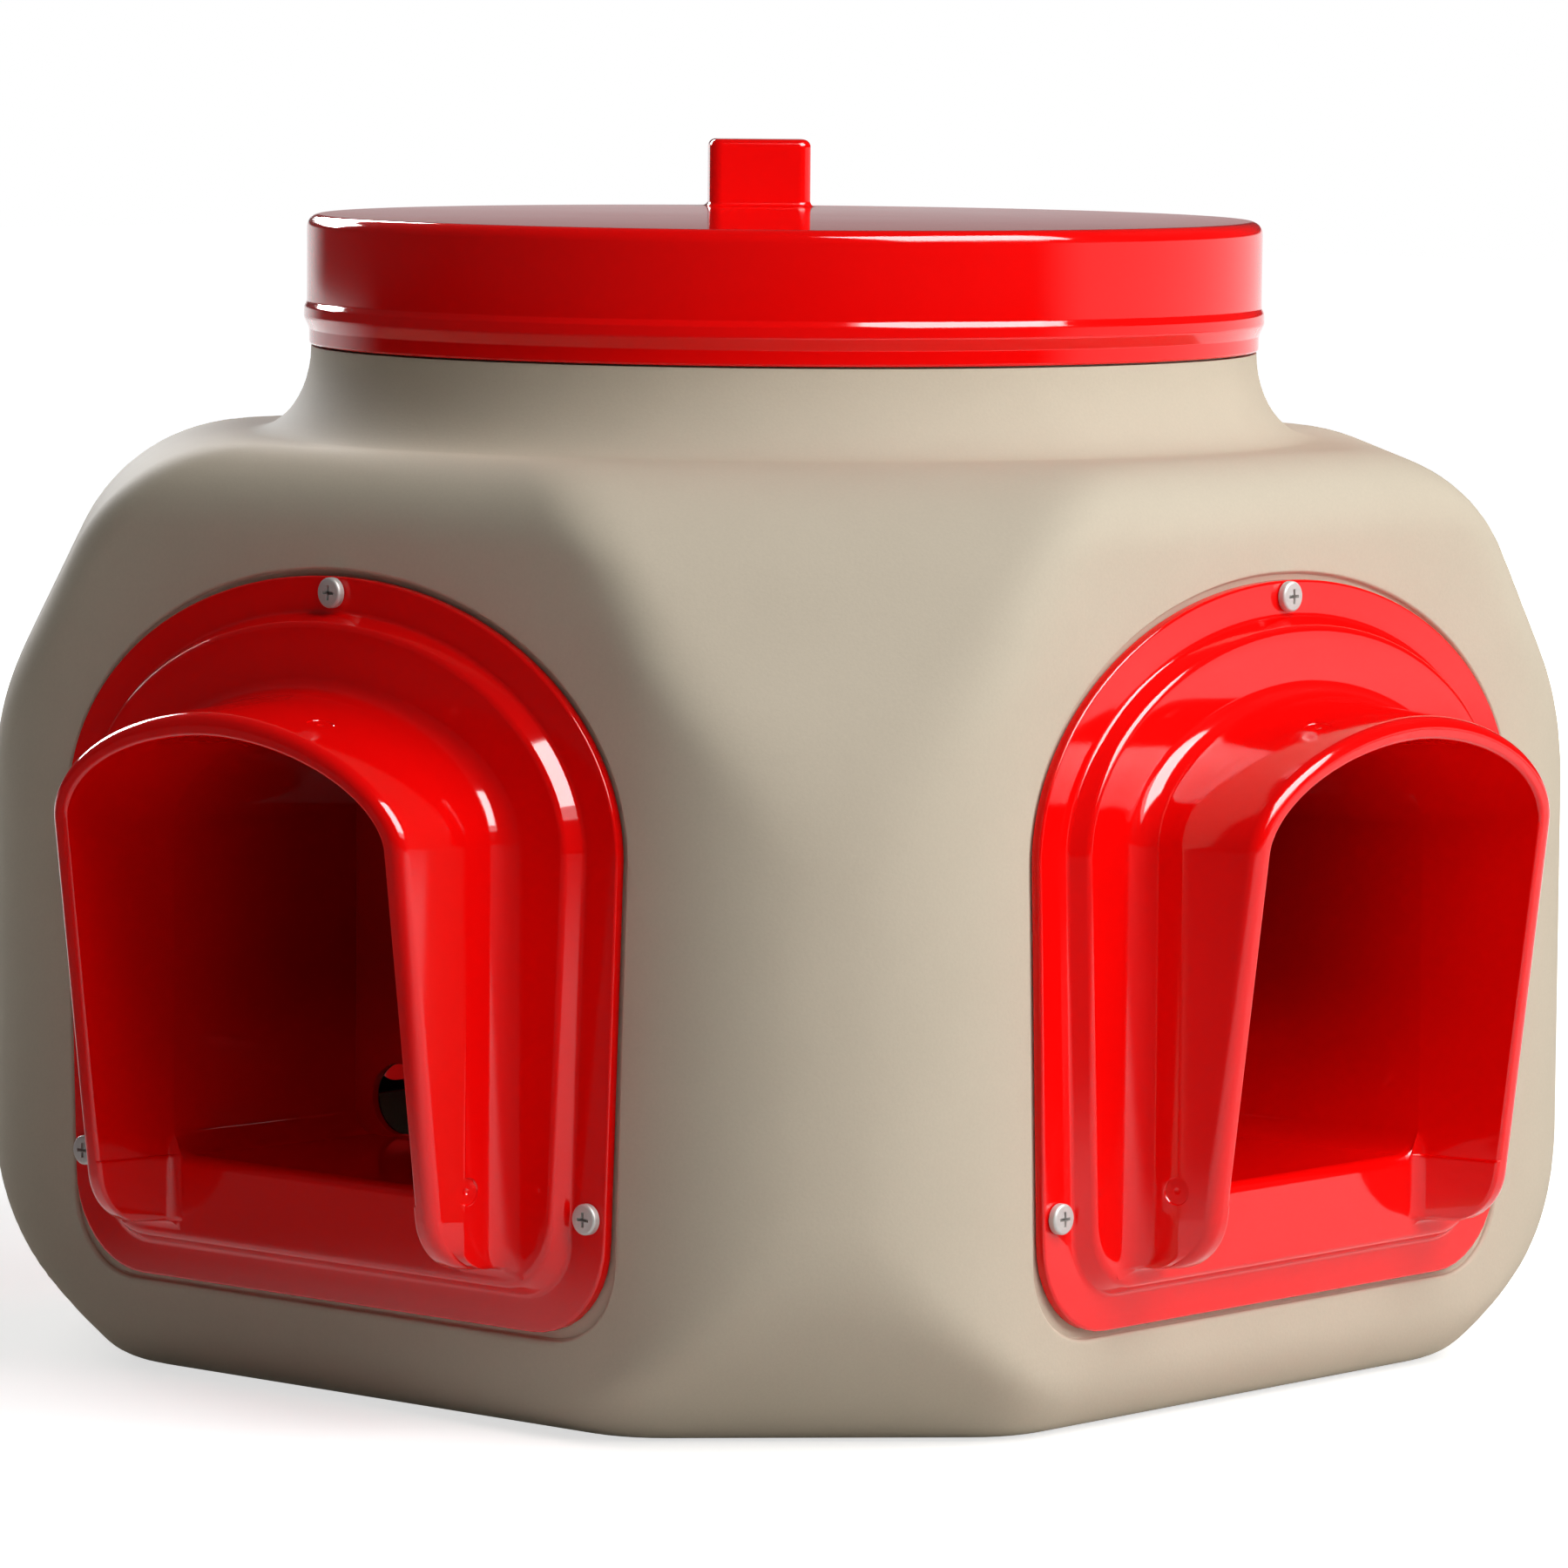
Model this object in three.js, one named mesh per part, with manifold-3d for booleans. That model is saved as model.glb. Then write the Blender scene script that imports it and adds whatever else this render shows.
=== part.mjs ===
import * as THREE from 'three';
import { mergeVertices } from 'three/addons/utils/BufferGeometryUtils.js';
import Module from 'manifold-3d';

const wasm = await Module();
wasm.setup();

// A gravity feeder for hens: a hollow rounded hopper with a port on each of four faces and a lift-off lid.
// Millimetres. The origin is the middle of the base, +Z is up, and the faces look along X and Y.

// Hopper, one hollow rotomoulded body
const hopper = {
  faceDistance: 199.5,
  cornerRadius: 83,
  shoulderHeight: 286,
  wall: 5,
  shoulderRoll: 25,
  baseRoll: 22,
};

// Slanted facets that cut the corners back towards the shoulder and the base
const upperFacet = { drop: 111, bend: 99, tiltDegrees: 26, roll: 58 };
const lowerFacet = { start: 70, bend: 66, tiltDegrees: 45, roll: 22 };
const facetBlend = { width: 10, reach: 60 };

// Neck that the lid slips over, with a sweep up to the ledge that the skirt comes down to
const neck = { shoulderMargin: 6.5, sweepRun: 19.5, sweepRise: 26.7, ledge: 3.3, height: 33.8, wall: 5 };

// Lid with a bead and a narrower band round its skirt, a grip lug at its rim and a ring seal under its top
const lid = {
  skirtClearance: 0.8,
  skirtWall: 4,
  ledgeGap: 0.6,
  topThickness: 3,
  topFillet: 3,
  beadProud: 0.9,
  beadDrop: 30.3,
  beadHeight: 9,
  bandInset: 1.1,
  bandHeight: 5,
};
const lug = { width: 33.4, height: 22, depth: 19, rimInset: 4, edge: 4.5, foot: 1.6, turnDegrees: 225 };
const seal = { thickness: 3.7, width: 5.4 };

// Each port has a flange on its face of the hopper, a raised panel, a hood and a tunnel; heights from the base
const portCount = 4;
const flange = {
  proud: 2,
  thickness: 4,
  cornerGap: 2,
  footNarrowing: 3.9,
  shoulderGap: 36,
  rise: 77,
  foot: 32,
  corner: 29,
};
const pocket = { gap: 2, cornerTightening: 4 };
const panel = {
  height: 6,
  slope: 3,
  sideBorder: 12.5,
  footSideBorder: 13.1,
  topBorder: 10.8,
  bottomBorder: 10.5,
  corner: 20,
};
const hood = {
  springReach: 46.89,
  lean: 0.13,
  wall: 7.2,
  sideBorder: 28.9,
  bottomBorder: 8.5,
  springRaise: 2.9,
  innerRise: 29.2,
  archPower: 1.86,
  footRound: 16,
  draft: 2.6,
  edge: 4.2,
  innerEdge: 1,
  filletSide: 8.3,
  filletTop: 5.6,
  filletLength: 8.6,
};
const tunnel = {
  sideStep: 4.4,
  backNarrowing: 4.5,
  springDrop: 1,
  crownStep: 2.1,
  sillRaise: 20.3,
  corner: 7,
  wall: 3.2,
  depth: 68.5,
  clearance: 1,
};
const feedSlot = { endMargin: 7, height: 22, lip: 0.8 };

// Screws, the brass inserts moulded into the hopper, and the bosses round them
const screw = {
  headRadius: 4.6,
  headHeight: 3,
  domeStart: 1.2,
  shankRadius: 2,
  shankLength: 14,
  crossLength: 5.2,
  crossWidth: 1.1,
  crossDepth: 1.6,
  topInset: 4.8,
  sideInset: 9.9,
  sideRaise: 6.9,
  holeClearance: 0.6,
};
const insert = { wall: 1.7, length: 11, boreClearance: 0.3 };
const boss = { wall: 3, floor: 2 };

// Gap between pieces that seat on each other, what a cut runs past a surface, and counts of steps round curves
const touch = 0.3;
const overrun = 2;
const steps = { ring: 48, lid: 60, arch: 16, corner: 4, roll: 4, innerRoll: 3, dome: 2, head: 12, bore: 10 };

// Sizes and places worked out from the sizes above
upperFacet.start = hopper.shoulderHeight - upperFacet.drop;
neck.radius = hopper.faceDistance - hopper.shoulderRoll - neck.shoulderMargin - neck.sweepRun - neck.ledge;
flange.halfWidth = hopper.faceDistance - hopper.cornerRadius - flange.cornerGap;
flange.halfFoot = flange.halfWidth - flange.footNarrowing;
flange.spring = hopper.shoulderHeight - flange.shoulderGap - flange.rise;
pocket.corner = flange.corner - pocket.cornerTightening;
panel.halfWidth = flange.halfWidth - panel.sideBorder;
panel.halfFoot = flange.halfFoot - panel.footSideBorder;
panel.spring = flange.spring;
panel.rise = flange.rise - panel.topBorder;
panel.foot = flange.foot + panel.bottomBorder;
hood.innerHalfWidth = panel.halfWidth - hood.sideBorder - hood.wall;
hood.innerSpring = panel.spring + hood.springRaise;
hood.foot = panel.foot + hood.bottomBorder;
tunnel.halfWidth = hood.innerHalfWidth - tunnel.sideStep;
tunnel.backHalfWidth = tunnel.halfWidth - tunnel.backNarrowing;
tunnel.spring = panel.spring - tunnel.springDrop;
tunnel.rise = hood.innerSpring + hood.innerRise - tunnel.crownStep - tunnel.spring;
tunnel.floor = hood.foot + tunnel.sillRaise;
feedSlot.halfWidth = tunnel.backHalfWidth - feedSlot.endMargin;
screw.sideHeight = flange.foot + flange.corner + screw.sideRaise;
const ledgeHeight = hopper.shoulderHeight + neck.sweepRise;
const rimHeight = ledgeHeight + neck.height;
const ledgeRadius = neck.radius + neck.ledge;
const lidUnderside = rimHeight + seal.thickness + 2 * touch;
const lidTop = lidUnderside + lid.topThickness;
const lidBottom = ledgeHeight + lid.ledgeGap;
const lidInner = neck.radius + lid.skirtClearance;
const lidRadius = lidInner + lid.skirtWall;
const flangeFace = hopper.faceDistance + flange.proud;
const pocketFloor = flangeFace - flange.thickness;
const panelFace = flangeFace + panel.height;
const tunnelBack = flangeFace - tunnel.depth;
const insertRadius = screw.shankRadius + insert.boreClearance + insert.wall;
const socketRadius = insertRadius + touch;
const insertOuterEnd = pocketFloor - touch;
const insertInnerEnd = insertOuterEnd - insert.length;
const bossEnd = insertInnerEnd - touch - boss.floor;
const screwPlaces = [
  { label: 'top', across: 0, up: flange.spring + flange.rise - screw.topInset },
  { label: 'left', across: screw.sideInset - flange.halfWidth, up: screw.sideHeight },
  { label: 'right', across: flange.halfWidth - screw.sideInset, up: screw.sideHeight },
];

const beige = { color: 0xcbbda3, roughness: 0.75, metalness: 0 };
const red = { color: 0xe00a06, roughness: 0.15, metalness: 0 };
const rubber = { color: 0x1c1c1c, roughness: 0.85, metalness: 0 };
const zinc = { color: 0xc9c9c6, roughness: 0.35, metalness: 1 };
const brass = { color: 0xb8923a, roughness: 0.4, metalness: 1 };

const feeder = new THREE.Group();

function addPart(name, geometry, finish, turn = 0) {
  const mesh = new THREE.Mesh(geometry, new THREE.MeshStandardMaterial(finish));
  mesh.name = name;
  mesh.rotation.z = turn;
  feeder.add(mesh);
}

// Closed meshes made solid, and back
function toSolid(geometry) {
  const bare = geometry.index ? geometry.toNonIndexed() : geometry.clone();
  for (const attribute of Object.keys(bare.attributes)) {
    if (attribute !== 'position') bare.deleteAttribute(attribute);
  }
  const merged = mergeVertices(bare);
  const mesh = new wasm.Mesh({
    numProp: 3,
    vertProperties: new Float32Array(merged.attributes.position.array),
    triVerts: new Uint32Array(merged.index.array),
  });
  return new wasm.Manifold(mesh);
}

function toGeometry(solid) {
  const mesh = solid.getMesh();
  const geometry = new THREE.BufferGeometry();
  geometry.setAttribute('position', new THREE.BufferAttribute(new Float32Array(mesh.vertProperties), 3));
  geometry.setIndex(new THREE.BufferAttribute(new Uint32Array(mesh.triVerts), 1));
  geometry.computeVertexNormals();
  return geometry;
}

// A closed solid through rings of points that all have the same count, capped at both ends about their middles
function loft(rings) {
  const count = rings[0].length;
  const middles = [rings[0], rings.at(-1)].map((ring) => (
    ring.reduce((sum, point) => sum.add(point), new THREE.Vector3()).divideScalar(count)
  ));
  const positions = [...rings.flat(), ...middles].flatMap((point) => point.toArray());
  const firstMiddle = rings.length * count;
  const lastMiddle = firstMiddle + 1;
  const index = [];
  for (let step = 0; step < count; step += 1) {
    const next = (step + 1) % count;
    for (let low = 0; low < firstMiddle - count; low += count) {
      const high = low + count;
      index.push(low + step, low + next, high + next);
      index.push(low + step, high + next, high + step);
    }
    const top = firstMiddle - count;
    index.push(next, step, firstMiddle);
    index.push(top + step, top + next, lastMiddle);
  }
  const geometry = new THREE.BufferGeometry();
  geometry.setAttribute('position', new THREE.Float32BufferAttribute(positions, 3));
  geometry.setIndex(index);
  return toSolid(geometry);
}

// A round solid from a closed or axis-ended profile of [radius, distance along the axis]; the axis is Y
function spin(profile, sides) {
  return new THREE.LatheGeometry(profile.map(([radius, along]) => new THREE.Vector2(radius, along)), sides);
}

function upright(geometry) {
  return geometry.rotateX(Math.PI / 2);
}

// How far a facet has dropped back from the diagonal at a distance beyond its start
function facetDrop(distance, facet) {
  const tilt = THREE.MathUtils.degToRad(facet.tiltDegrees);
  const bendSpan = facet.bend * Math.sin(tilt);
  if (distance <= 0) return 0;
  if (distance < bendSpan) return facet.bend - Math.sqrt(facet.bend ** 2 - distance ** 2);
  return facet.bend * (1 - Math.cos(tilt)) + (distance - bendSpan) * Math.tan(tilt);
}

// Reach along a facet's diagonal, with a roll that brings it level at the shoulder or the base
function facetReach(distance, facet, span, reach, inset) {
  const tilt = THREE.MathUtils.degToRad(facet.tiltDegrees);
  const roll = facet.roll - inset;
  const rollStart = span - roll * (1 - Math.sin(tilt));
  if (distance <= rollStart) return reach - facetDrop(distance, facet);
  const middle = reach - facetDrop(rollStart, facet) - roll * Math.cos(tilt);
  return middle + Math.sqrt(Math.max(roll ** 2 - (distance - span + roll) ** 2, 0));
}

// Half the hopper's width between two flat faces at a height
function rolledHalfWidth(height, inset) {
  const half = hopper.faceDistance - inset;
  const shoulder = hopper.shoulderRoll - inset;
  const base = hopper.baseRoll - inset;
  const above = height - (hopper.shoulderHeight - inset - shoulder);
  const below = inset + base - height;
  if (above > 0) return half - shoulder + Math.sqrt(Math.max(shoulder ** 2 - above ** 2, 0));
  if (below > 0) return half - base + Math.sqrt(Math.max(base ** 2 - below ** 2, 0));
  return half;
}

function roundedSquareReach(angle, half, corner) {
  const centre = half - corner;
  if (half * Math.tan(angle) <= centre) return half / Math.cos(angle);
  const along = centre * (Math.cos(angle) + Math.sin(angle));
  return along + Math.sqrt(Math.max(along ** 2 - 2 * centre ** 2 + corner ** 2, 0));
}

function smoothLower(first, second, width) {
  const overlap = Math.max(width - Math.abs(first - second), 0);
  return Math.min(first, second) - (width > 0 ? overlap ** 2 / (4 * width) : 0);
}

// The hopper's skin: a square with rounded corners at each height, cut by a slanted facet on each diagonal
function hopperReach(angle, height, inset) {
  const fromFace = Math.abs(((angle + Math.PI / 4) % (Math.PI / 2)) - Math.PI / 4);
  const half = rolledHalfWidth(height, inset);
  const lost = hopper.faceDistance - inset - half;
  const square = roundedSquareReach(fromFace, half, hopper.cornerRadius - inset - lost / 2);
  const diagonal = (hopper.faceDistance - hopper.cornerRadius) * Math.SQRT2 + hopper.cornerRadius - inset;
  const rising = height - upperFacet.start;
  const sinking = lowerFacet.start - height;
  const risingSpan = hopper.shoulderHeight - inset - upperFacet.start;
  const sinkingSpan = lowerFacet.start - inset;
  const cut = Math.min(
    facetReach(rising, upperFacet, risingSpan, diagonal, inset),
    facetReach(sinking, lowerFacet, sinkingSpan, diagonal, inset),
  );
  const ramp = THREE.MathUtils.clamp(Math.max(rising, sinking) / facetBlend.reach, 0, 1);
  return smoothLower(square, cut / Math.cos(Math.PI / 4 - fromFace), facetBlend.width * ramp);
}

function ringAt(height, reachAt) {
  return Array.from({ length: steps.ring }, (_, step) => {
    const angle = (step / steps.ring) * 2 * Math.PI;
    const reach = reachAt(angle);
    return new THREE.Vector3(reach * Math.cos(angle), reach * Math.sin(angle), height);
  });
}

function quarterTurns(count) {
  return Array.from({ length: count + 1 }, (_, step) => (step / count) * (Math.PI / 2));
}

// Heights of the hopper's rings, closer together where the skin curves
function hopperHeights(inset, rollSteps) {
  const base = hopper.baseRoll - inset;
  const shoulder = hopper.shoulderRoll - inset;
  const upperEnd = hopper.shoulderHeight - inset - shoulder;
  const lowerBendShares = [0.2, 0.55, 1];
  const upperBendShares = [0, 0.16, 0.32, 0.5, 0.72];
  return [
    ...quarterTurns(rollSteps).map((turn) => inset + base * (1 - Math.cos(turn))),
    ...lowerBendShares.map((share) => THREE.MathUtils.lerp(hopper.baseRoll, lowerFacet.start, share)),
    ...upperBendShares.map((share) => THREE.MathUtils.lerp(upperFacet.start, upperEnd, share)),
    ...quarterTurns(rollSteps).map((turn) => upperEnd + shoulder * Math.sin(turn)),
  ];
}

// Rings of the concave sweep from the shoulder up to the ledge, as [radius, height]
function neckSweep(inset, rollSteps) {
  return quarterTurns(rollSteps).slice(1).map((turn) => [
    ledgeRadius - inset + neck.sweepRun * (1 - Math.sin(turn)),
    hopper.shoulderHeight - inset + neck.sweepRise * (1 - Math.cos(turn)),
  ]);
}

function hopperSkin(inset, rollSteps, neckRadius, topHeight) {
  const body = hopperHeights(inset, rollSteps).map((height) => (
    ringAt(height, (angle) => hopperReach(angle, height, inset))
  ));
  const rounds = [
    ...neckSweep(inset, rollSteps),
    [neckRadius, ledgeHeight],
    [neckRadius, topHeight],
  ].map(([radius, height]) => ringAt(height, () => radius));
  return loft([...body, ...rounds]);
}

// Outlines in the plane of a face, as points across and up, counter-clockwise from the lower right corner
function archPoint(share, halfWidth, spring, rise, power) {
  const turn = share * Math.PI;
  const across = Math.sign(Math.cos(turn)) * Math.abs(Math.cos(turn)) ** (2 / power);
  return new THREE.Vector2(halfWidth * across, spring + rise * Math.sin(turn) ** (2 / power));
}

function archPoints(halfWidth, spring, rise, power) {
  return Array.from({ length: steps.arch + 1 }, (_, step) => (
    archPoint(step / steps.arch, halfWidth, spring, rise, power)
  ));
}

function panelOutline(size, grow = 0, power = 2) {
  const foot = size.foot - grow;
  const corner = quarterTurns(steps.corner).map((turn) => new THREE.Vector2(
    size.halfFoot + grow - size.corner * (1 - Math.sin(turn)),
    foot + size.corner * (1 - Math.cos(turn)),
  ));
  const mirrored = corner.map((point) => new THREE.Vector2(-point.x, point.y)).reverse();
  return [...corner, ...archPoints(size.halfWidth + grow, size.spring, size.rise + grow, power), ...mirrored];
}

function hoodOutline(halfWidth, spring, rise, foot) {
  return [
    new THREE.Vector2(halfWidth, foot),
    ...archPoints(halfWidth, spring, rise, hood.archPower),
    new THREE.Vector2(-halfWidth, foot),
  ];
}

function tunnelOutline(halfWidth, grow) {
  const size = { ...tunnel, halfWidth, halfFoot: halfWidth, foot: tunnel.floor, corner: tunnel.corner + grow };
  return panelOutline(size, grow, hood.archPower);
}

// The front face looks along -Y, so an outline stands at a distance out from the hopper's axis
function outlineAt(outline, distanceAt) {
  return outline.map((point) => new THREE.Vector3(point.x, -distanceAt(point.y), point.y));
}

function slab(outline, from, to) {
  return loft([outlineAt(outline, () => from), outlineAt(outline, () => to)]);
}

// A round bar that points out of the front face
function bar(radius, place, from, to) {
  const geometry = new THREE.CylinderGeometry(radius, radius, to - from, steps.head);
  geometry.translate(place.across, -(from + to) / 2, place.up);
  return toSolid(geometry);
}

function rimDistance(height) {
  return flangeFace + hood.springReach + hood.lean * (height - panel.spring);
}

// Hood with no way in: a fillet out of the panel, then walls that draw in to the round of the slanted rim
function makeHoodBlank() {
  const half = hood.innerHalfWidth + hood.wall;
  const rise = hood.innerRise + hood.wall;
  const outlineGrown = (side, top) => hoodOutline(half + side, hood.innerSpring, rise + top, hood.foot);
  const filletShares = [0, 0.1, 0.35, 1];
  const flared = (flare) => {
    const side = hood.draft + hood.filletSide * flare;
    return outlineGrown(side, hood.draft + hood.filletTop * flare);
  };
  const rings = [outlineAt(flared(1), () => flangeFace)];
  for (const share of filletShares) {
    const flare = 1 - Math.sqrt(1 - (1 - share) ** 2);
    rings.push(outlineAt(flared(flare), () => panelFace + hood.filletLength * share));
  }
  for (const turn of quarterTurns(2)) {
    const grow = hood.edge * (Math.cos(turn) - 1);
    const back = hood.edge * (1 - Math.sin(turn));
    rings.push(outlineAt(outlineGrown(grow, grow), (height) => rimDistance(height) - back));
  }
  return loft(rings);
}

// Space inside the hood, which is open below, with an eased edge at the rim
function makeHoodSpace() {
  const foot = hood.foot - overrun;
  const rim = hoodOutline(hood.innerHalfWidth, hood.innerSpring, hood.innerRise, foot);
  const easedHalf = hood.innerHalfWidth + hood.innerEdge;
  const easedRim = hoodOutline(easedHalf, hood.innerSpring, hood.innerRise + hood.innerEdge, foot);
  return loft([
    outlineAt(hoodOutline(tunnel.halfWidth, tunnel.spring, tunnel.rise, foot), () => panelFace),
    outlineAt(rim, (height) => rimDistance(height) - hood.innerEdge),
    outlineAt(easedRim, (height) => rimDistance(height) + touch),
  ]);
}

// What lies beyond the round at the front of the hood's feet, as a bar across the whole port
function makeFootRounding() {
  const front = rimDistance(hood.foot);
  const middle = new THREE.Vector2(front - hood.footRound, hood.foot + hood.footRound);
  const below = hood.foot - overrun;
  const beyond = front + hood.footRound;
  const profile = new THREE.Shape();
  profile.moveTo(middle.x, below);
  profile.lineTo(middle.x, hood.foot);
  profile.absarc(middle.x, middle.y, hood.footRound, -Math.PI / 2, 0, false);
  profile.lineTo(beyond, middle.y);
  profile.lineTo(beyond, below);
  const depth = 2 * panel.halfWidth;
  const geometry = new THREE.ExtrudeGeometry(profile, { depth, bevelEnabled: false, curveSegments: steps.corner });
  geometry.translate(0, 0, -depth / 2);
  const outward = new THREE.Vector3(0, -1, 0);
  const up = new THREE.Vector3(0, 0, 1);
  const across = new THREE.Vector3(-1, 0, 0);
  geometry.applyMatrix4(new THREE.Matrix4().makeBasis(outward, up, across));
  return toSolid(geometry);
}

// Slot with round ends, low in the tunnel's back wall, that the feed comes in by
function makeFeedSlot() {
  const radius = feedSlot.height / 2;
  const middle = tunnel.floor + feedSlot.lip + radius;
  const straight = feedSlot.halfWidth - radius;
  const half = quarterTurns(steps.corner).map((turn) => [radius * Math.sin(turn), radius * Math.cos(turn)]);
  const lowerRight = half.map(([out, down]) => new THREE.Vector2(straight + out, middle - down));
  const upperRight = half.slice(0, -1).map(([out, down]) => new THREE.Vector2(straight + out, middle + down)).reverse();
  const right = [...lowerRight, ...upperRight];
  const left = right.map((point) => new THREE.Vector2(-point.x, point.y)).reverse();
  return slab([...right, ...left], tunnelBack - tunnel.wall - overrun, tunnelBack + overrun);
}

function makePort() {
  const panelFoot = panelOutline(panel);
  const panelTop = panelOutline(panel, -panel.slope);
  const back = pocketFloor + touch;
  let body = slab(panelOutline(flange), back, flangeFace);
  body = body.add(loft([
    outlineAt(panelFoot, () => back),
    outlineAt(panelFoot, () => flangeFace),
    outlineAt(panelTop, () => panelFace),
  ]));
  body = body.add(makeHoodBlank());
  body = body.add(loft([
    outlineAt(tunnelOutline(tunnel.backHalfWidth, tunnel.wall), () => tunnelBack - tunnel.wall),
    outlineAt(tunnelOutline(tunnel.halfWidth, tunnel.wall), () => flangeFace),
  ]));
  const tunnelSpace = loft([
    outlineAt(tunnelOutline(tunnel.backHalfWidth, 0), () => tunnelBack),
    outlineAt(tunnelOutline(tunnel.halfWidth, 0), () => panelFace + touch),
  ]);
  for (const space of [makeHoodSpace(), tunnelSpace, makeFootRounding(), makeFeedSlot()]) {
    body = body.subtract(space);
  }
  for (const place of screwPlaces) {
    const hole = bar(screw.shankRadius + screw.holeClearance, place, pocketFloor - overrun, flangeFace + overrun);
    body = body.subtract(hole);
  }
  return toGeometry(body);
}

// The hollow body, with a pocket, a tunnel hole and three insert bosses on each face
function makeHopper() {
  const outer = hopperSkin(0, steps.roll, neck.radius, rimHeight);
  const inner = hopperSkin(hopper.wall, steps.innerRoll, neck.radius - neck.wall, rimHeight + overrun);
  const seat = slab(
    panelOutline({ ...flange, corner: pocket.corner }, pocket.gap),
    pocketFloor,
    pocketFloor + flange.thickness,
  );
  const tunnelHole = slab(tunnelOutline(tunnel.halfWidth, tunnel.wall + tunnel.clearance), bossEnd, flangeFace);
  const lumps = screwPlaces.map((place) => bar(socketRadius + boss.wall, place, bossEnd, pocketFloor - overrun));
  const sockets = screwPlaces.map((place) => bar(socketRadius, place, insertInnerEnd - touch, flangeFace));
  const turns = Array.from({ length: portCount }, (_, side) => (side / portCount) * 360);
  let body = outer.subtract(inner);
  for (const turn of turns) {
    for (const lump of lumps) body = body.add(lump.rotate([0, 0, turn]));
    for (const cut of [seat, tunnelHole, ...sockets]) body = body.subtract(cut.rotate([0, 0, turn]));
  }
  return toGeometry(body);
}

function makeLid() {
  const beadMiddle = lidTop - lid.beadDrop;
  const beadRadius = lidRadius + lid.beadProud;
  const bandRadius = lidRadius - lid.bandInset;
  const beadHalf = lid.beadHeight / 2;
  const filletTurn = lid.topFillet * (1 - Math.SQRT1_2);
  const shell = spin([
    [0, lidUnderside],
    [lidInner, lidUnderside],
    [lidInner, lidBottom],
    [bandRadius, lidBottom],
    [bandRadius, lidBottom + lid.bandHeight],
    [beadRadius, beadMiddle - beadHalf + lid.beadProud],
    [beadRadius, beadMiddle + beadHalf - lid.beadProud],
    [lidRadius, beadMiddle + beadHalf],
    [lidRadius, lidTop - lid.topFillet],
    [lidRadius - filletTurn, lidTop - filletTurn],
    [lidRadius - lid.topFillet, lidTop],
    [0, lidTop],
  ], steps.lid);
  return toGeometry(toSolid(upright(shell)).add(makeLug()));
}

// Grip lug, a rounded block that stands at the rim of the lid with a small fillet at its foot
function makeLug() {
  const reach = lidRadius - lug.rimInset - lug.depth / 2;
  const eased = lug.edge / 2;
  const foot = roundedRectangle(lug.width + lug.foot, lug.depth + lug.foot, lug.edge);
  const block = roundedRectangle(lug.width, lug.depth, lug.edge);
  const cap = roundedRectangle(lug.width - lug.edge, lug.depth - lug.edge, lug.edge);
  const rings = [
    [foot, lidTop - lid.topThickness / 2],
    [foot, lidTop],
    [block, lidTop + lug.foot],
    [block, lidTop + lug.height - eased],
    [cap, lidTop + lug.height],
  ];
  const solid = loft(rings.map(([outline, height]) => (
    outline.map((point) => new THREE.Vector3(point.x, point.y - reach, height))
  )));
  return solid.rotate([0, 0, lug.turnDegrees]);
}

function roundedRectangle(width, depth, radius) {
  const corners = [[1, -1, -0.5], [1, 1, 0], [-1, 1, 0.5], [-1, -1, 1]];
  return corners.flatMap(([acrossSign, alongSign, startShare]) => quarterTurns(2).map((turn) => new THREE.Vector2(
    acrossSign * (width / 2 - radius) + radius * Math.cos(startShare * Math.PI + turn),
    alongSign * (depth / 2 - radius) + radius * Math.sin(startShare * Math.PI + turn),
  )));
}

function makeSeal() {
  const outer = neck.radius - touch;
  const inner = outer - seal.width;
  const bottom = rimHeight + touch;
  const top = bottom + seal.thickness;
  const ring = spin([[inner, bottom], [outer, bottom], [outer, top], [inner, top], [inner, bottom]], steps.ring);
  return toGeometry(toSolid(upright(ring)));
}

// A screw points out of the front face, with a domed head and a cross recess
function makeScrew(place) {
  const seat = flangeFace + touch;
  const domeHeight = screw.headHeight - screw.domeStart;
  const dome = quarterTurns(steps.dome).map((turn) => [
    screw.headRadius * Math.cos(turn),
    seat + screw.domeStart + domeHeight * Math.sin(turn),
  ]);
  dome.at(-1)[0] = 0;
  let solid = toSolid(spin([
    [0, seat - screw.shankLength],
    [screw.shankRadius, seat - screw.shankLength],
    [screw.shankRadius, seat],
    [screw.headRadius, seat],
    ...dome,
  ], steps.head));
  for (const turn of [0, Math.PI / 2]) {
    const slot = new THREE.BoxGeometry(screw.crossLength, 2 * screw.crossDepth, screw.crossWidth);
    slot.rotateY(turn);
    slot.translate(0, seat + screw.headHeight, 0);
    solid = solid.subtract(toSolid(slot));
  }
  return toGeometry(solid).rotateX(Math.PI).translate(place.across, 0, place.up);
}

function makeInsert(place) {
  const bore = screw.shankRadius + insert.boreClearance;
  const sleeve = spin([
    [bore, insertInnerEnd],
    [insertRadius, insertInnerEnd],
    [insertRadius, insertOuterEnd],
    [bore, insertOuterEnd],
    [bore, insertInnerEnd],
  ], steps.bore);
  return toGeometry(toSolid(sleeve)).rotateX(Math.PI).translate(place.across, 0, place.up);
}

addPart('hopper', makeHopper(), beige);
addPart('lid', makeLid(), red);
addPart('lid_seal', makeSeal(), rubber);

for (const [side, label] of ['front', 'right', 'back', 'left'].entries()) {
  const turn = (side / portCount) * 2 * Math.PI;
  addPart(`feed_port_${label}`, makePort(), red, turn);
  for (const place of screwPlaces) {
    addPart(`port_screw_${label}_${place.label}`, makeScrew(place), zinc, turn);
    addPart(`screw_insert_${label}_${place.label}`, makeInsert(place), brass, turn);
  }
}

export default feeder;
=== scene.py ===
import math

import bmesh
import bpy
from mathutils import Matrix, Vector


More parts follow.
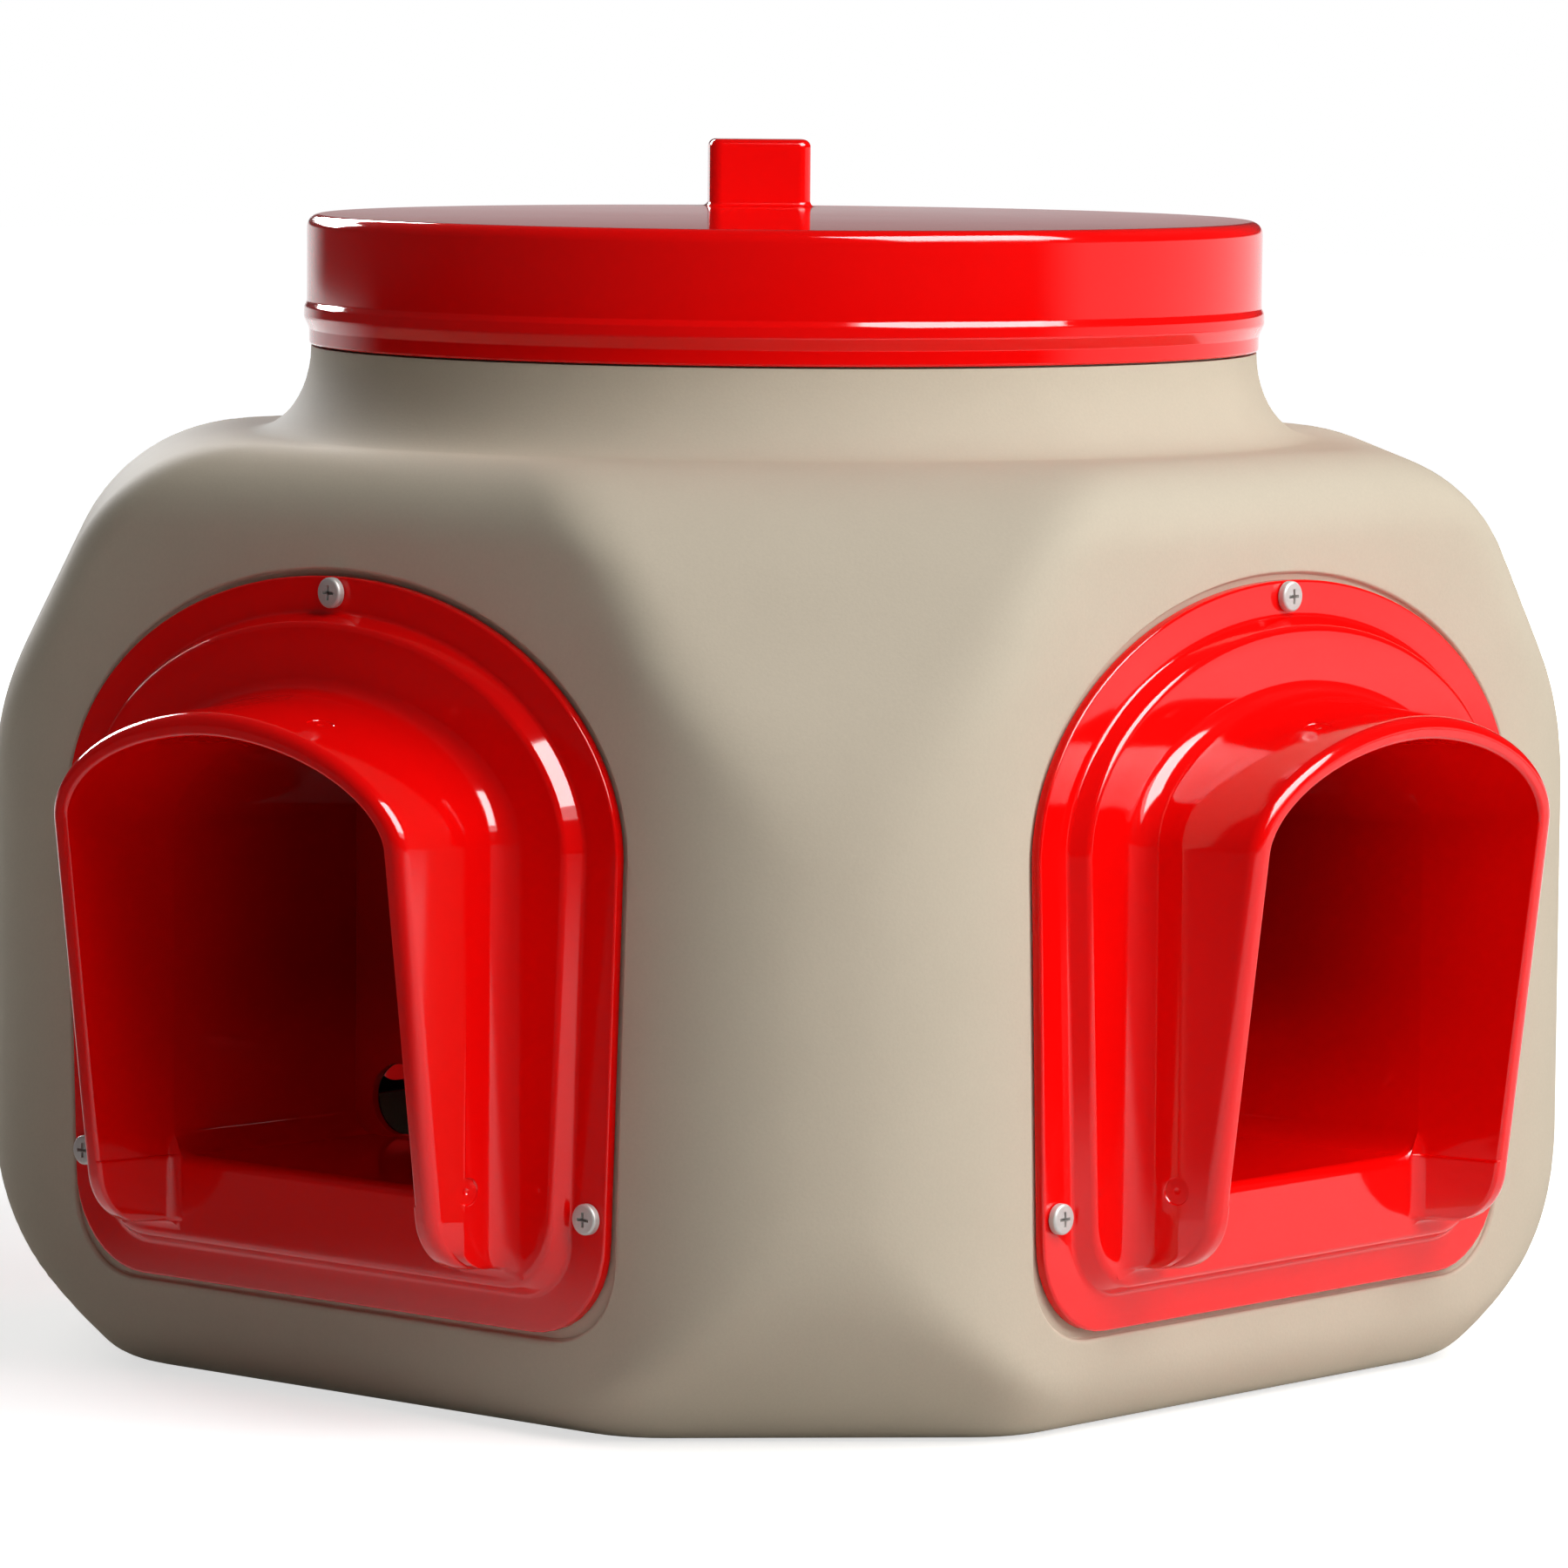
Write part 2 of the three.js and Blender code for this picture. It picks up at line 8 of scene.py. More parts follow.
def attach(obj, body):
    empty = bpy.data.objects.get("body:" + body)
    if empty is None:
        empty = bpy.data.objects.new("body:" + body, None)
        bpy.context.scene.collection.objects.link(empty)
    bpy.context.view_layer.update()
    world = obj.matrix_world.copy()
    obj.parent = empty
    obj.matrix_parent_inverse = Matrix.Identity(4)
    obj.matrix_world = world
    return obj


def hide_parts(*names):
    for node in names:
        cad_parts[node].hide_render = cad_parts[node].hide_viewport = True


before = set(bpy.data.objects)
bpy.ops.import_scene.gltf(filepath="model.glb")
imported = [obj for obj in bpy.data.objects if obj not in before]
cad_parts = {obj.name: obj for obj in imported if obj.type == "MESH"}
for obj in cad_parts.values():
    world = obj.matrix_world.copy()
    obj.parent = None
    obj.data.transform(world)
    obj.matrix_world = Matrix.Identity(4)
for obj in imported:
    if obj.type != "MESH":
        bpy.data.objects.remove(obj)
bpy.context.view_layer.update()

millimetre = 0.001
sides = ["front", "right", "back", "left"]  # each a quarter turn on from the last
quarter = math.pi / 2
weld = {"spin": 0.0005, "spinEdge": 0.0001, "piece": 0.002, "pieceEdge": 0.001}  # merge distances in millimetres
barSegments = 48

print("frame loaded:", len(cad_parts), "nodes")


# meshes

def ringOf(bm, points):
    verts = bmesh.ops.create_circle(bm, cap_ends=False, segments=len(points), radius=1)["verts"]
    for vert, point in zip(verts, points):
        vert.co = point
    return verts


def ringEdges(bm, verts):
    return [bm.edges.get((vert, verts[(step + 1) % len(verts)])) for step, vert in enumerate(verts)]


# pulls a new ring out of the last one and puts its points in place
def growRing(bm, verts, points):
    pulled = bmesh.ops.extrude_edge_only(bm, edges=ringEdges(bm, verts))["geom"]
    fresh = {item for item in pulled if isinstance(item, bmesh.types.BMVert)}
    grown = []
    for vert, point in zip(verts, points):
        partner = next(edge.other_vert(vert) for edge in vert.link_edges if edge.other_vert(vert) in fresh)
        partner.co = point
        grown.append(partner)
    return grown


# a closed body through rings that all have the same count of points
def loftBody(rings):
    bm = bmesh.new()
    first = ringOf(bm, rings[0])
    last = first
    for points in rings[1:]:
        last = growRing(bm, last, points)
    for verts in (first, last):
        bmesh.ops.contextual_create(bm, geom=ringEdges(bm, verts))
    bmesh.ops.recalc_face_normals(bm, faces=bm.faces)
    return bm


# a round body about Z from a profile of (radius, height) whose ends are on the axis, or which closes on itself
def spinBody(profile, steps, closed=False):
    bm = bmesh.new()
    verts = [bm.verts.new((radius, 0, height)) for radius, height in profile]
    pairs = list(zip(verts, verts[1:])) + ([(verts[-1], verts[0])] if closed else [])
    edges = [bm.edges.new(pair) for pair in pairs]
    bmesh.ops.spin(
        bm, geom=verts + edges, axis=(0, 0, 1), cent=(0, 0, 0), angle=2 * math.pi, steps=steps, use_merge=True)
    bmesh.ops.remove_doubles(bm, verts=bm.verts, dist=weld["spin"])
    bmesh.ops.dissolve_degenerate(bm, edges=bm.edges, dist=weld["spinEdge"])
    bmesh.ops.recalc_face_normals(bm, faces=bm.faces)
    return bm


# a flat path of (x, y, radius) with each corner rounded
def softPath(corners, steps=5, closed=False):
    path = []
    count = len(corners)
    for place, (x, y, radius) in enumerate(corners):
        ends = not closed and place in (0, count - 1)
        if ends or radius == 0:
            path.append((x, y))
            continue
        corner = Vector((x, y))
        before = Vector(corners[place - 1][:2]) - corner
        after = Vector(corners[(place + 1) % count][:2]) - corner
        before.normalize()
        after.normalize()
        half = before.angle(after) / 2
        reach = radius / math.tan(half)
        middle = corner + (before + after).normalized() * (radius / math.sin(half))
        start = corner + before * reach - middle
        turn = start.angle_signed(corner + after * reach - middle)
        for step in range(steps + 1):
            path.append(tuple(middle + Matrix.Rotation(-turn * step / steps, 2) @ start))
    return path


def bodyObject(name, bm):
    mesh = bpy.data.meshes.new(name)
    bm.to_mesh(mesh)
    bm.free()
    body = bpy.data.objects.new(name, mesh)
    bpy.context.scene.collection.objects.link(body)
    return body


# joins or cuts with the boolean modifier, applies it and throws the other bodies away
def combine(body, operation, others):
    for other in others:
        modifier = body.modifiers.new(operation, "BOOLEAN")
        modifier.operation = operation
        modifier.solver = "MANIFOLD"
        modifier.object = other
        bpy.context.view_layer.update()
        solved = body.evaluated_get(bpy.context.evaluated_depsgraph_get())
        result = bpy.data.meshes.new_from_object(solved)
        body.modifiers.clear()
        spent = body.data
        body.data = result
        bpy.data.meshes.remove(spent)
        bpy.data.objects.remove(other)
    return body


# metres, smooth with sharp edges kept, the flat faces' normals winning over the small rounds beside them
def finishPiece(piece, material, sharpDegrees=32):
    bm = bmesh.new()
    bm.from_mesh(piece.data)
    bmesh.ops.remove_doubles(bm, verts=bm.verts, dist=weld["piece"])
    bmesh.ops.dissolve_degenerate(bm, edges=bm.edges, dist=weld["pieceEdge"])
    bmesh.ops.transform(bm, matrix=Matrix.Scale(millimetre, 4), verts=bm.verts)
    bm.to_mesh(piece.data)
    bm.free()
    piece.data.materials.clear()
    piece.data.materials.append(material)
    for face in piece.data.polygons:
        face.use_smooth = True
        face.material_index = 0
    piece.data.set_sharp_from_angle(angle=math.radians(sharpDegrees))
    weighted = piece.modifiers.new("weightedNormals", "WEIGHTED_NORMAL")
    weighted.mode = "FACE_AREA"
    weighted.keep_sharp = True
    return piece


# a copy whose new place is in its mesh
def movedCopy(piece, name, move):
    copy = piece.copy()
    copy.data = piece.data.copy()
    copy.name = copy.data.name = name
    copy.data.transform(move)
    bpy.context.scene.collection.objects.link(copy)
    return copy


def turns(count, last=quarter):
    return [last * step / count for step in range(count + 1)]


# a round bar that stands out of a face at (across, up), between two distances from the middle of the feeder
def addBar(bm, across, up, radius, near, far, spin=Matrix.Identity(4)):
    bmesh.ops.create_cone(
        bm, cap_ends=True, segments=barSegments, radius1=radius, radius2=radius, depth=far - near,
        matrix=spin @ Matrix.Translation((across, -(near + far) / 2, up)) @ Matrix.Rotation(quarter, 4, "X"))
    return bm


# finishes

# a shader socket that takes Python's operators, each of which adds its Math node
class Wire:
    def __init__(self, graph, socket):
        self.graph = graph
        self.socket = socket

    def combined(self, operation, first, second):
        return self.graph.node("ShaderNodeMath", {"operation": operation}, {0: first, 1: second})

    def __add__(self, other):
        return self.combined("ADD", self, other)

    __radd__ = __add__

    def __sub__(self, other):
        return self.combined("SUBTRACT", self, other)

    def __rsub__(self, other):
        return self.combined("SUBTRACT", other, self)

    def __mul__(self, other):
        return self.combined("MULTIPLY", self, other)

    __rmul__ = __mul__

    def __pow__(self, other):
        return self.combined("POWER", self, other)

    def __rpow__(self, other):
        return self.combined("POWER", other, self)

    def __abs__(self):
        return self.graph.node("ShaderNodeMath", {"operation": "ABSOLUTE"}, {0: self})

    def atLeast(self, other):
        return self.combined("MAXIMUM", self, other)

    def atMost(self, other):
        return self.combined("MINIMUM", self, other)


class Graph:
    def __init__(self, tree):
        self.tree = tree
        self.tree.nodes.clear()

    def node(self, kind, settings, inputs, output=0):
        made = self.tree.nodes.new(kind)
        for key, value in settings.items():
            setattr(made, key, value)
        for key, value in inputs.items():
            if isinstance(value, Wire):
                self.tree.links.new(value.socket, made.inputs[key])
            else:
                made.inputs[key].default_value = value
        return Wire(self, made.outputs[output]) if len(made.outputs) else made


def eased(graph, value, edges):
    return graph.node("ShaderNodeMapRange", {"interpolation_type": "SMOOTHSTEP"}, {
        "Value": value, "From Min": edges[0], "From Max": edges[1]})


def grey(level):
    return (level, level, level, 1)


def newMaterial(name):
    material = bpy.data.materials.new(name)
    material.use_nodes = True
    return material, Graph(material.node_tree)


def closeMaterial(graph, surface):
    graph.node("ShaderNodeOutputMaterial", {}, {"Surface": surface})


# the arch of the ports' tunnels that gets the painted shade, in metres, and the pairs between which the painted shade
# comes or goes
paintedShadeZone = {
    "half": 0.0695, "spring": 0.1759, "rise": 0.0328, "power": 1.86, "edge": (0.99, 1.03), "depth": (0.150, 0.245),
    "floor": (0.066, 0.128), "slot": (0.1300, 0.1308), "slotPaintedShade": 1.55}


# painted shade: 1 far into a port and 0 at its rim and floor, and more in the feed slot
def insideShare(graph, place):
    x, y, height = [graph.node("ShaderNodeSeparateXYZ", {}, {0: place}, axis) for axis in "XYZ"]
    x, y = abs(x), abs(y)
    out, across = x.atLeast(y), x.atMost(y)
    above = (height - paintedShadeZone["spring"]).atLeast(0.0)
    reach = (across * (1 / paintedShadeZone["half"])) ** paintedShadeZone["power"] + (above * (1 / paintedShadeZone["rise"])) ** paintedShadeZone["power"]
    arch = 1 - eased(graph, reach, paintedShadeZone["edge"])
    paintedDeepShade = (1 - eased(graph, out, paintedShadeZone["depth"])) * eased(graph, height, paintedShadeZone["floor"])
    slot = (1 - eased(graph, out, paintedShadeZone["slot"])) * paintedShadeZone["slotPaintedShade"]
    return arch * paintedDeepShade.atLeast(slot)


noise = {"cloudDetail": 3.0, "grainDetail": 2.0, "roughness": 0.6}


def noiseAt(graph, place, size, detail):
    return graph.node("ShaderNodeTexNoise", {}, {
        "Vector": place, "Scale": 1 / (size * millimetre), "Detail": detail, "Roughness": noise["roughness"]})


# a finish with cloudy colour, uneven gloss and a fine grain, and where the look asks for it a painted shade far into
# the ports; distances are in millimetres
def grainyFinish(name, look):
    material, graph = newMaterial(name)
    place = graph.node("ShaderNodeTexCoord", {}, {}, "Object")
    cloud = noiseAt(graph, place, look["cloudSize"], noise["cloudDetail"])
    speck = noiseAt(graph, place, look["grainSize"], noise["grainDetail"])
    tone = graph.node("ShaderNodeMix", {"data_type": "RGBA"}, {
        "Factor": cloud, "A": look["dark"], "B": look["light"]}, "Result")
    shade = 1 - look["speckle"] + 2 * look["speckle"] * speck
    colour = graph.node("ShaderNodeVectorMath", {"operation": "SCALE"}, {0: tone, "Scale": shade}, "Vector")
    bump = graph.node("ShaderNodeBump", {}, {
        "Height": speck, "Strength": look["grainStrength"], "Distance": look["grainDepth"] * millimetre})
    # painted shade: the colour is darker far into the ports, where shade falls
    if "inside" in look:
        colour = graph.node("ShaderNodeVectorMath", {"operation": "SCALE"}, {
            0: colour, "Scale": 1 - look["inside"] * insideShare(graph, place)}, "Vector")
    surface = graph.node("ShaderNodeBsdfPrincipled", {}, {
        "Base Color": colour,
        "Roughness": look["roughness"] + look["roughnessSpread"] * (cloud - 0.5),
        "Metallic": look.get("metallic", 0.0),
        "IOR": look.get("ior", 1.5),
        "Specular IOR Level": look.get("specular", 0.5),
        "Normal": bump})
    closeMaterial(graph, surface)
    return material


looks = {
    "mouldedBeige": {
        "dark": (0.570, 0.496, 0.388, 1), "light": (0.620, 0.542, 0.428, 1), "cloudSize": 45, "grainSize": 0.9,
        "speckle": 0.045, "grainStrength": 0.28, "grainDepth": 0.12, "roughness": 0.76, "roughnessSpread": 0.10,
        "ior": 1.4, "specular": 0.09},
    # the gloss red carries a painted shade far into the ports
    "glossRed": {
        "dark": (0.92, 0.0012, 0.0010, 1), "light": (0.96, 0.0020, 0.0016, 1), "cloudSize": 60, "grainSize": 2.6,
        "speckle": 0.006, "grainStrength": 0.03, "grainDepth": 0.02, "roughness": 0.07, "roughnessSpread": 0.03,
        "ior": 1.42, "inside": 0.62},
    "platedSteel": {
        "dark": (0.52, 0.50, 0.48, 1), "light": (0.62, 0.60, 0.58, 1), "cloudSize": 1.6, "grainSize": 0.25,
        "speckle": 0.05, "grainStrength": 0.15, "grainDepth": 0.02, "roughness": 0.50, "roughnessSpread": 0.12,
        "metallic": 0.3},
    "turnedBrass": {
        "dark": (0.60, 0.42, 0.14, 1), "light": (0.74, 0.54, 0.22, 1), "cloudSize": 2.5, "grainSize": 0.3,
        "speckle": 0.05, "grainStrength": 0.2, "grainDepth": 0.02, "roughness": 0.34, "roughnessSpread": 0.12,
        "metallic": 1.0},
    "blackRubber": {
        "dark": (0.016, 0.016, 0.016, 1), "light": (0.030, 0.029, 0.028, 1), "cloudSize": 8, "grainSize": 0.5,
        "speckle": 0.08, "grainStrength": 0.3, "grainDepth": 0.05, "roughness": 0.72, "roughnessSpread": 0.12},
}
finishes = {name: grainyFinish(name, look) for name, look in looks.items()}
print("finishes made:", ", ".join(finishes))


# sizes that several pieces share, in millimetres

hopper = {
    "face": 199.5, "corner": 83, "shoulder": 286, "wall": 5, "shoulderRoll": 25, "baseRoll": 22,
    "blend": 10, "blendReach": 60, "leastBlend": 0.12, "segments": 288, "rollSteps": 14, "ringSteps": (3, 12, 2.6),
    "rimRound": 1.6, "sharp": 38}
upperFacet = {"start": 175, "bend": 99, "tilt": math.radians(26), "roll": 58}
lowerFacet = {"start": 70, "bend": 66, "tilt": math.radians(45), "roll": 22}
neck = {
    "sweepRun": 19.5, "sweepRise": 26.7, "ledge": 3.3, "ledgeRise": 0.01, "radius": 145.2, "height": 33.8, "wall": 5,
    "steps": 12}
flange = {
    "proud": 2, "thickness": 4, "half": 114.5, "halfFoot": 110.6, "spring": 173, "rise": 77, "foot": 32, "corner": 29}
pocket = {
    "gap": 2, "corner": 25, "lip": 1.1, "lipRise": 0.06, "lipSteps": 6, "floorRound": 0.5, "flare": 0.05,
    "clear": 1.5}
tunnel = {
    "half": 61.5, "backHalf": 57, "spring": 172, "rise": 31, "floor": 71.3, "corner": 7, "wall": 3.2, "depth": 68.5,
    "clearance": 1, "power": 1.86, "backRound": 0.1, "backSteps": 5, "outerBackRound": 1.5, "outerBackSteps": 3,
    "sillRound": 3.4, "sillClear": 0.02}
screw = {
    "headRadius": 4.6, "headHeight": 2.7, "headRound": 0.9, "headCrown": 0.25, "footRound": 0.25, "shankRadius": 2,
    "shankLength": 14, "point": 0.5, "pointLength": 1.5, "topInset": 4.8, "sideInset": 9.9, "sideUp": 67.9,
    "hole": 2.6, "holeDepth": 12, "gap": 0.3, "roundSteps": 6, "steps": 48}
insert = {
    "bore": 2.3, "radius": 4.0, "length": 11, "innerEnd": 0.4, "outerEnd": 0.3, "groove": 0.35, "grooves": 3,
    "grooveStart": 2.2, "groovePitch": 2.6, "grooveWidth": 1.2, "roundSteps": 3, "steps": 40, "socketGap": 0.3,
    "bossWall": 3.3, "bossFloor": 2.3, "bossRoot": 2}
overrun = 1  # how far a cutter or a joined body reaches past the face it meets
flangeFace = hopper["face"] + flange["proud"]
pocketFloor = flangeFace - flange["thickness"]
ledgeHeight = hopper["shoulder"] + neck["sweepRise"]
rimHeight = ledgeHeight + neck["height"]
ledgeRadius = neck["radius"] + neck["ledge"]
insertOuter = pocketFloor - screw["gap"]
insertInner = insertOuter - insert["length"]
bossEnd = insertInner - insert["bossFloor"]
screwPlaces = {
    "top": (0, flange["spring"] + flange["rise"] - screw["topInset"]),
    "left": (screw["sideInset"] - flange["half"], screw["sideUp"]),
    "right": (flange["half"] - screw["sideInset"], screw["sideUp"]),
}
archSteps = 72
cornerSteps = 10


# outlines in the plane of a face, as (across, up), turning from the lower right up and over

def archPoints(half, spring, rise, power):
    points = []
    for turn in turns(archSteps, math.pi):
        across = math.copysign(abs(math.cos(turn)) ** (2 / power), math.cos(turn))
        points.append((half * across, spring + rise * max(math.sin(turn), 0) ** (2 / power)))
    return points


def doorOutline(size, grow=0, power=2):
    corner = [(size["halfFoot"] + grow - size["corner"] * (1 - math.sin(turn)),
               size["foot"] - grow + size["corner"] * (1 - math.cos(turn))) for turn in turns(cornerSteps)]
    mirrored = [(-across, up) for across, up in reversed(corner)]
    return corner + archPoints(size["half"] + grow, size["spring"], size["rise"] + grow, power) + mirrored


def standAt(outline, distanceAt):
    return [Vector((across, -distanceAt(up), up)) for across, up in outline]


def standFlat(outline, distance):
    return [Vector((across, -distance, up)) for across, up in outline]


# hopper

def facetDrop(distance, facet):
    span = facet["bend"] * math.sin(facet["tilt"])
    if distance <= 0:
        return 0
    if distance < span:
        return facet["bend"] - math.sqrt(facet["bend"] ** 2 - distance ** 2)
    return facet["bend"] * (1 - math.cos(facet["tilt"])) + (distance - span) * math.tan(facet["tilt"])


def facetReach(distance, facet, span, reach, inset):
    roll = facet["roll"] - inset
    rollStart = span - roll * (1 - math.sin(facet["tilt"]))
    if distance <= rollStart:
        return reach - facetDrop(distance, facet)
    middle = reach - facetDrop(rollStart, facet) - roll * math.cos(facet["tilt"])
    return middle + math.sqrt(max(roll ** 2 - (distance - span + roll) ** 2, 0))


def rolledHalf(height, inset):
    half = hopper["face"] - inset
    shoulder = hopper["shoulderRoll"] - inset
    base = hopper["baseRoll"] - inset
    above = height - (hopper["shoulder"] - inset - shoulder)
    below = inset + base - height
    if above > 0:
        return half - shoulder + math.sqrt(max(shoulder ** 2 - above ** 2, 0))
    if below > 0:
        return half - base + math.sqrt(max(base ** 2 - below ** 2, 0))
    return half


def squareReach(angle, half, corner):
    centre = half - corner
    if half * math.tan(angle) <= centre:
        return half / math.cos(angle)
    along = centre * (math.cos(angle) + math.sin(angle))
    return along + math.sqrt(max(along ** 2 - 2 * centre ** 2 + corner ** 2, 0))


def softLower(first, second, width):
    overlap = max(width - abs(first - second), 0)
    return min(first, second) - (overlap ** 2 / (4 * width) if width > 0 else 0)


# the skin is a square with rounded corners at each height, cut by a slanted facet on each diagonal
def hopperReach(angle, height, inset):
    fromFace = abs((angle + math.pi / 4) % quarter - math.pi / 4)
    half = rolledHalf(height, inset)
    lost = hopper["face"] - inset - half
    square = squareReach(fromFace, half, hopper["corner"] - inset - lost / 2)
    diagonal = (hopper["face"] - hopper["corner"]) * math.sqrt(2) + hopper["corner"] - inset
    rising = height - upperFacet["start"]
    sinking = lowerFacet["start"] - height
    cut = min(
        facetReach(rising, upperFacet, hopper["shoulder"] - inset - upperFacet["start"], diagonal, inset),
        facetReach(sinking, lowerFacet, lowerFacet["start"] - inset, diagonal, inset))
    ramp = min(max(max(rising, sinking) / hopper["blendReach"], 0), 1)
    width = hopper["blend"] * (hopper["leastBlend"] + (1 - hopper["leastBlend"]) * ramp)
    return softLower(square, cut / math.cos(math.pi / 4 - fromFace), width)


def hopperHeights(inset, coarse=1):
    base = hopper["baseRoll"] - inset
    shoulder = hopper["shoulderRoll"] - inset
    upperEnd = hopper["shoulder"] - inset - shoulder
    rolls = turns(hopper["rollSteps"] // coarse)
    heights = [inset + base * (1 - math.cos(turn)) for turn in rolls]
    levels = [base + inset, lowerFacet["start"], upperFacet["start"], upperEnd]
    for low, high, step in zip(levels, levels[1:], hopper["ringSteps"]):
        count = max(round((high - low) / step / coarse), 1)
        heights += [low + (high - low) * place / count for place in range(1, count + 1)]
    return heights + [upperEnd + shoulder * math.sin(turn) for turn in rolls[1:]]


def hopperRing(height, reachAt):
    spots = []
    for step in range(hopper["segments"]):
        angle = 2 * math.pi * step / hopper["segments"]
        reach = reachAt(angle)
        spots.append(Vector((reach * math.cos(angle), reach * math.sin(angle), height)))
    return spots


def skinRings(inset, coarse):
    return [hopperRing(height, lambda angle: hopperReach(angle, height, inset))
            for height in hopperHeights(inset, coarse)]


def neckRings(path):
    return [hopperRing(height, lambda angle: radius) for radius, height in path]


def sweepPath(inset, steps):
    return [(ledgeRadius - inset + neck["sweepRun"] * (1 - math.sin(turn)),
             hopper["shoulder"] - inset + neck["sweepRise"] * (1 - math.cos(turn))) for turn in turns(steps)]


def makeHopper():
    outer = sweepPath(0, neck["steps"])
    innerRadius = neck["radius"] - neck["wall"]
    ledgeTop = ledgeHeight + neck["ledgeRise"]
    top = softPath([
        (*outer[-1], 0),
        (ledgeRadius, ledgeTop, 0),
        (neck["radius"], ledgeTop, 0),
        (neck["radius"], rimHeight, hopper["rimRound"]),
        (innerRadius, rimHeight, hopper["rimRound"]),
        (innerRadius, ledgeHeight, 0),
    ])[1:]
    inner = list(reversed(sweepPath(hopper["wall"], neck["steps"] // 2)))
    rings = skinRings(0, 1) + neckRings(outer + top + inner) + list(reversed(skinRings(hopper["wall"], 2)))
    body = bodyObject("hopperShell", loftBody(rings))
    print("hopper skin:", len(body.data.polygons), "faces")

    spins = [Matrix.Rotation(side * quarter, 4, "Z") for side in range(len(sides))]
    bosses = bmesh.new()
    bossRadius, bossRoot = insert["radius"] + insert["bossWall"], pocketFloor - insert["bossRoot"]
    socketRadius, socketEnd = insert["radius"] + insert["socketGap"], insertInner - insert["socketGap"]
    sockets = []
    for spin in spins:
        for place in screwPlaces.values():
            addBar(bosses, *place, bossRadius, bossEnd, bossRoot, spin)
            socket = addBar(bmesh.new(), *place, socketRadius, socketEnd, flangeFace, spin)
            sockets.append(bodyObject("socket", socket))
    combine(body, "UNION", [bodyObject("bosses", bosses)])

    seat = {**flange, "corner": pocket["corner"]}
    gap, lip = pocket["gap"], pocket["lip"]
    lipTop = hopper["face"] + pocket["lipRise"]
    stations = [(gap - pocket["floorRound"], pocketFloor), (gap, pocketFloor + pocket["floorRound"])]
    stations += [(gap + lip * (1 - math.cos(turn)), lipTop - lip * (1 - math.sin(turn)))
                 for turn in turns(pocket["lipSteps"])]
    stations.append((gap + lip + pocket["flare"], hopper["face"] + pocket["clear"]))
    around = tunnel["wall"] + tunnel["clearance"]
    way = {**tunnel, "halfFoot": tunnel["half"], "foot": tunnel["floor"], "corner": tunnel["corner"] + around}
    pockets = []
    for spin in spins:
        for rings in (
                [standFlat(doorOutline(seat, grow), distance) for grow, distance in stations],
                [standFlat(doorOutline(way, around, tunnel["power"]), distance)
                 for distance in (bossEnd - overrun, pocketFloor + overrun)]):
            bm = loftBody(rings)
            bmesh.ops.transform(bm, matrix=spin, verts=bm.verts)
            pockets.append(bodyObject("pocket", bm))
    combine(body, "DIFFERENCE", pockets + sockets)
    return finishPiece(body, finishes["mouldedBeige"], hopper["sharp"])


hopperShell = makeHopper()
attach(hopperShell, "hopper_body")
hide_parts("hopper")
print("hopper done:", len(hopperShell.data.polygons), "faces")


# feed ports

port = {
    "edge": 0.8, "backEdge": 0.6, "reach": 43.9, "lean": 0.13, "leanHeight": 150, "power": 1.86, "wall": 7.2,
    "half": 65.9, "spring": 175.9, "rise": 29.2, "foot": 51, "footRound": 16, "footEdge": 1.2, "footFlare": 3,
    "footSteps": 12, "edgeSteps": 4, "draft": 2.6, "filletSide": 8.3, "filletTop": 5.6, "filletLength": 8.6,
    "filletSteps": 10, "outerRound": 4.2, "innerRound": 1.5, "roundSteps": 7, "innerFillet": 3.6, "innerLedge": 0.6,
    "witness": 0.12, "witnessHalf": 0.5, "witnessDistance": 223, "footCut": 5, "rimCut": 4, "mouthCut": 8,
    "sharp": 30}
panel = {
    "height": 6, "slope": 3, "half": 102, "halfFoot": 97.5, "spring": 173, "rise": 66.2, "foot": 42.5, "corner": 20,
    "footRun": 3.2, "footFillet": 1.6, "topRun": 4, "topRound": 2.4, "steps": 6}
feedSlot = {"half": 50, "height": 22, "lip": 0.8, "edge": 0.3, "edgeStart": 0.35, "edgeEnd": 0.02, "steps": 20}
mark = {
    "radius": 4.2, "depth": 0.3, "edge": 0.3, "dimple": 1.1, "dimpleFloor": 0.66, "dimpleDepth": 0.4, "steps": 40,
    "topAcross": 28.4, "topDistance": 236, "sideDistance": 222, "sideUp": 75, "clear": (0.1, 2), "near": 0.5}
panelFace = flangeFace + panel["height"]
tunnelBack = flangeFace - tunnel["depth"]


def rimDistance(height):
    return flangeFace + port["reach"] + port["lean"] * (height - port["leanHeight"])


# the rim draws back in a round at the foot of each side wall
def rimFront(height):
    above = height - port["foot"]
    if above >= port["footRound"]:
        return rimDistance(height)
    drop = port["footRound"] - max(above, 0)
    return rimDistance(height) - port["footRound"] + math.sqrt(max(port["footRound"] ** 2 - drop ** 2, 0))


def footHeights(foot):
    rise = port["footRound"] + port["foot"] - foot
    return [foot + rise * (1 - math.cos(turn)) for turn in turns(port["footSteps"])[1:]]


def outerOutline(side, top, foot):
    half = port["half"] + port["wall"] + side
    edge = port["footEdge"]
    bottom = port["foot"] - foot
    rounded = [(half - edge * (1 - math.sin(turn)), bottom + edge * (1 - math.cos(turn)))
               for turn in turns(port["edgeSteps"])]
    wall = [(half, up) for up in footHeights(bottom + edge)]
    right = rounded + wall
    left = [(-across, up) for across, up in reversed(right)]
    return right + archPoints(half, port["spring"], port["rise"] + port["wall"] + top, port["power"]) + left


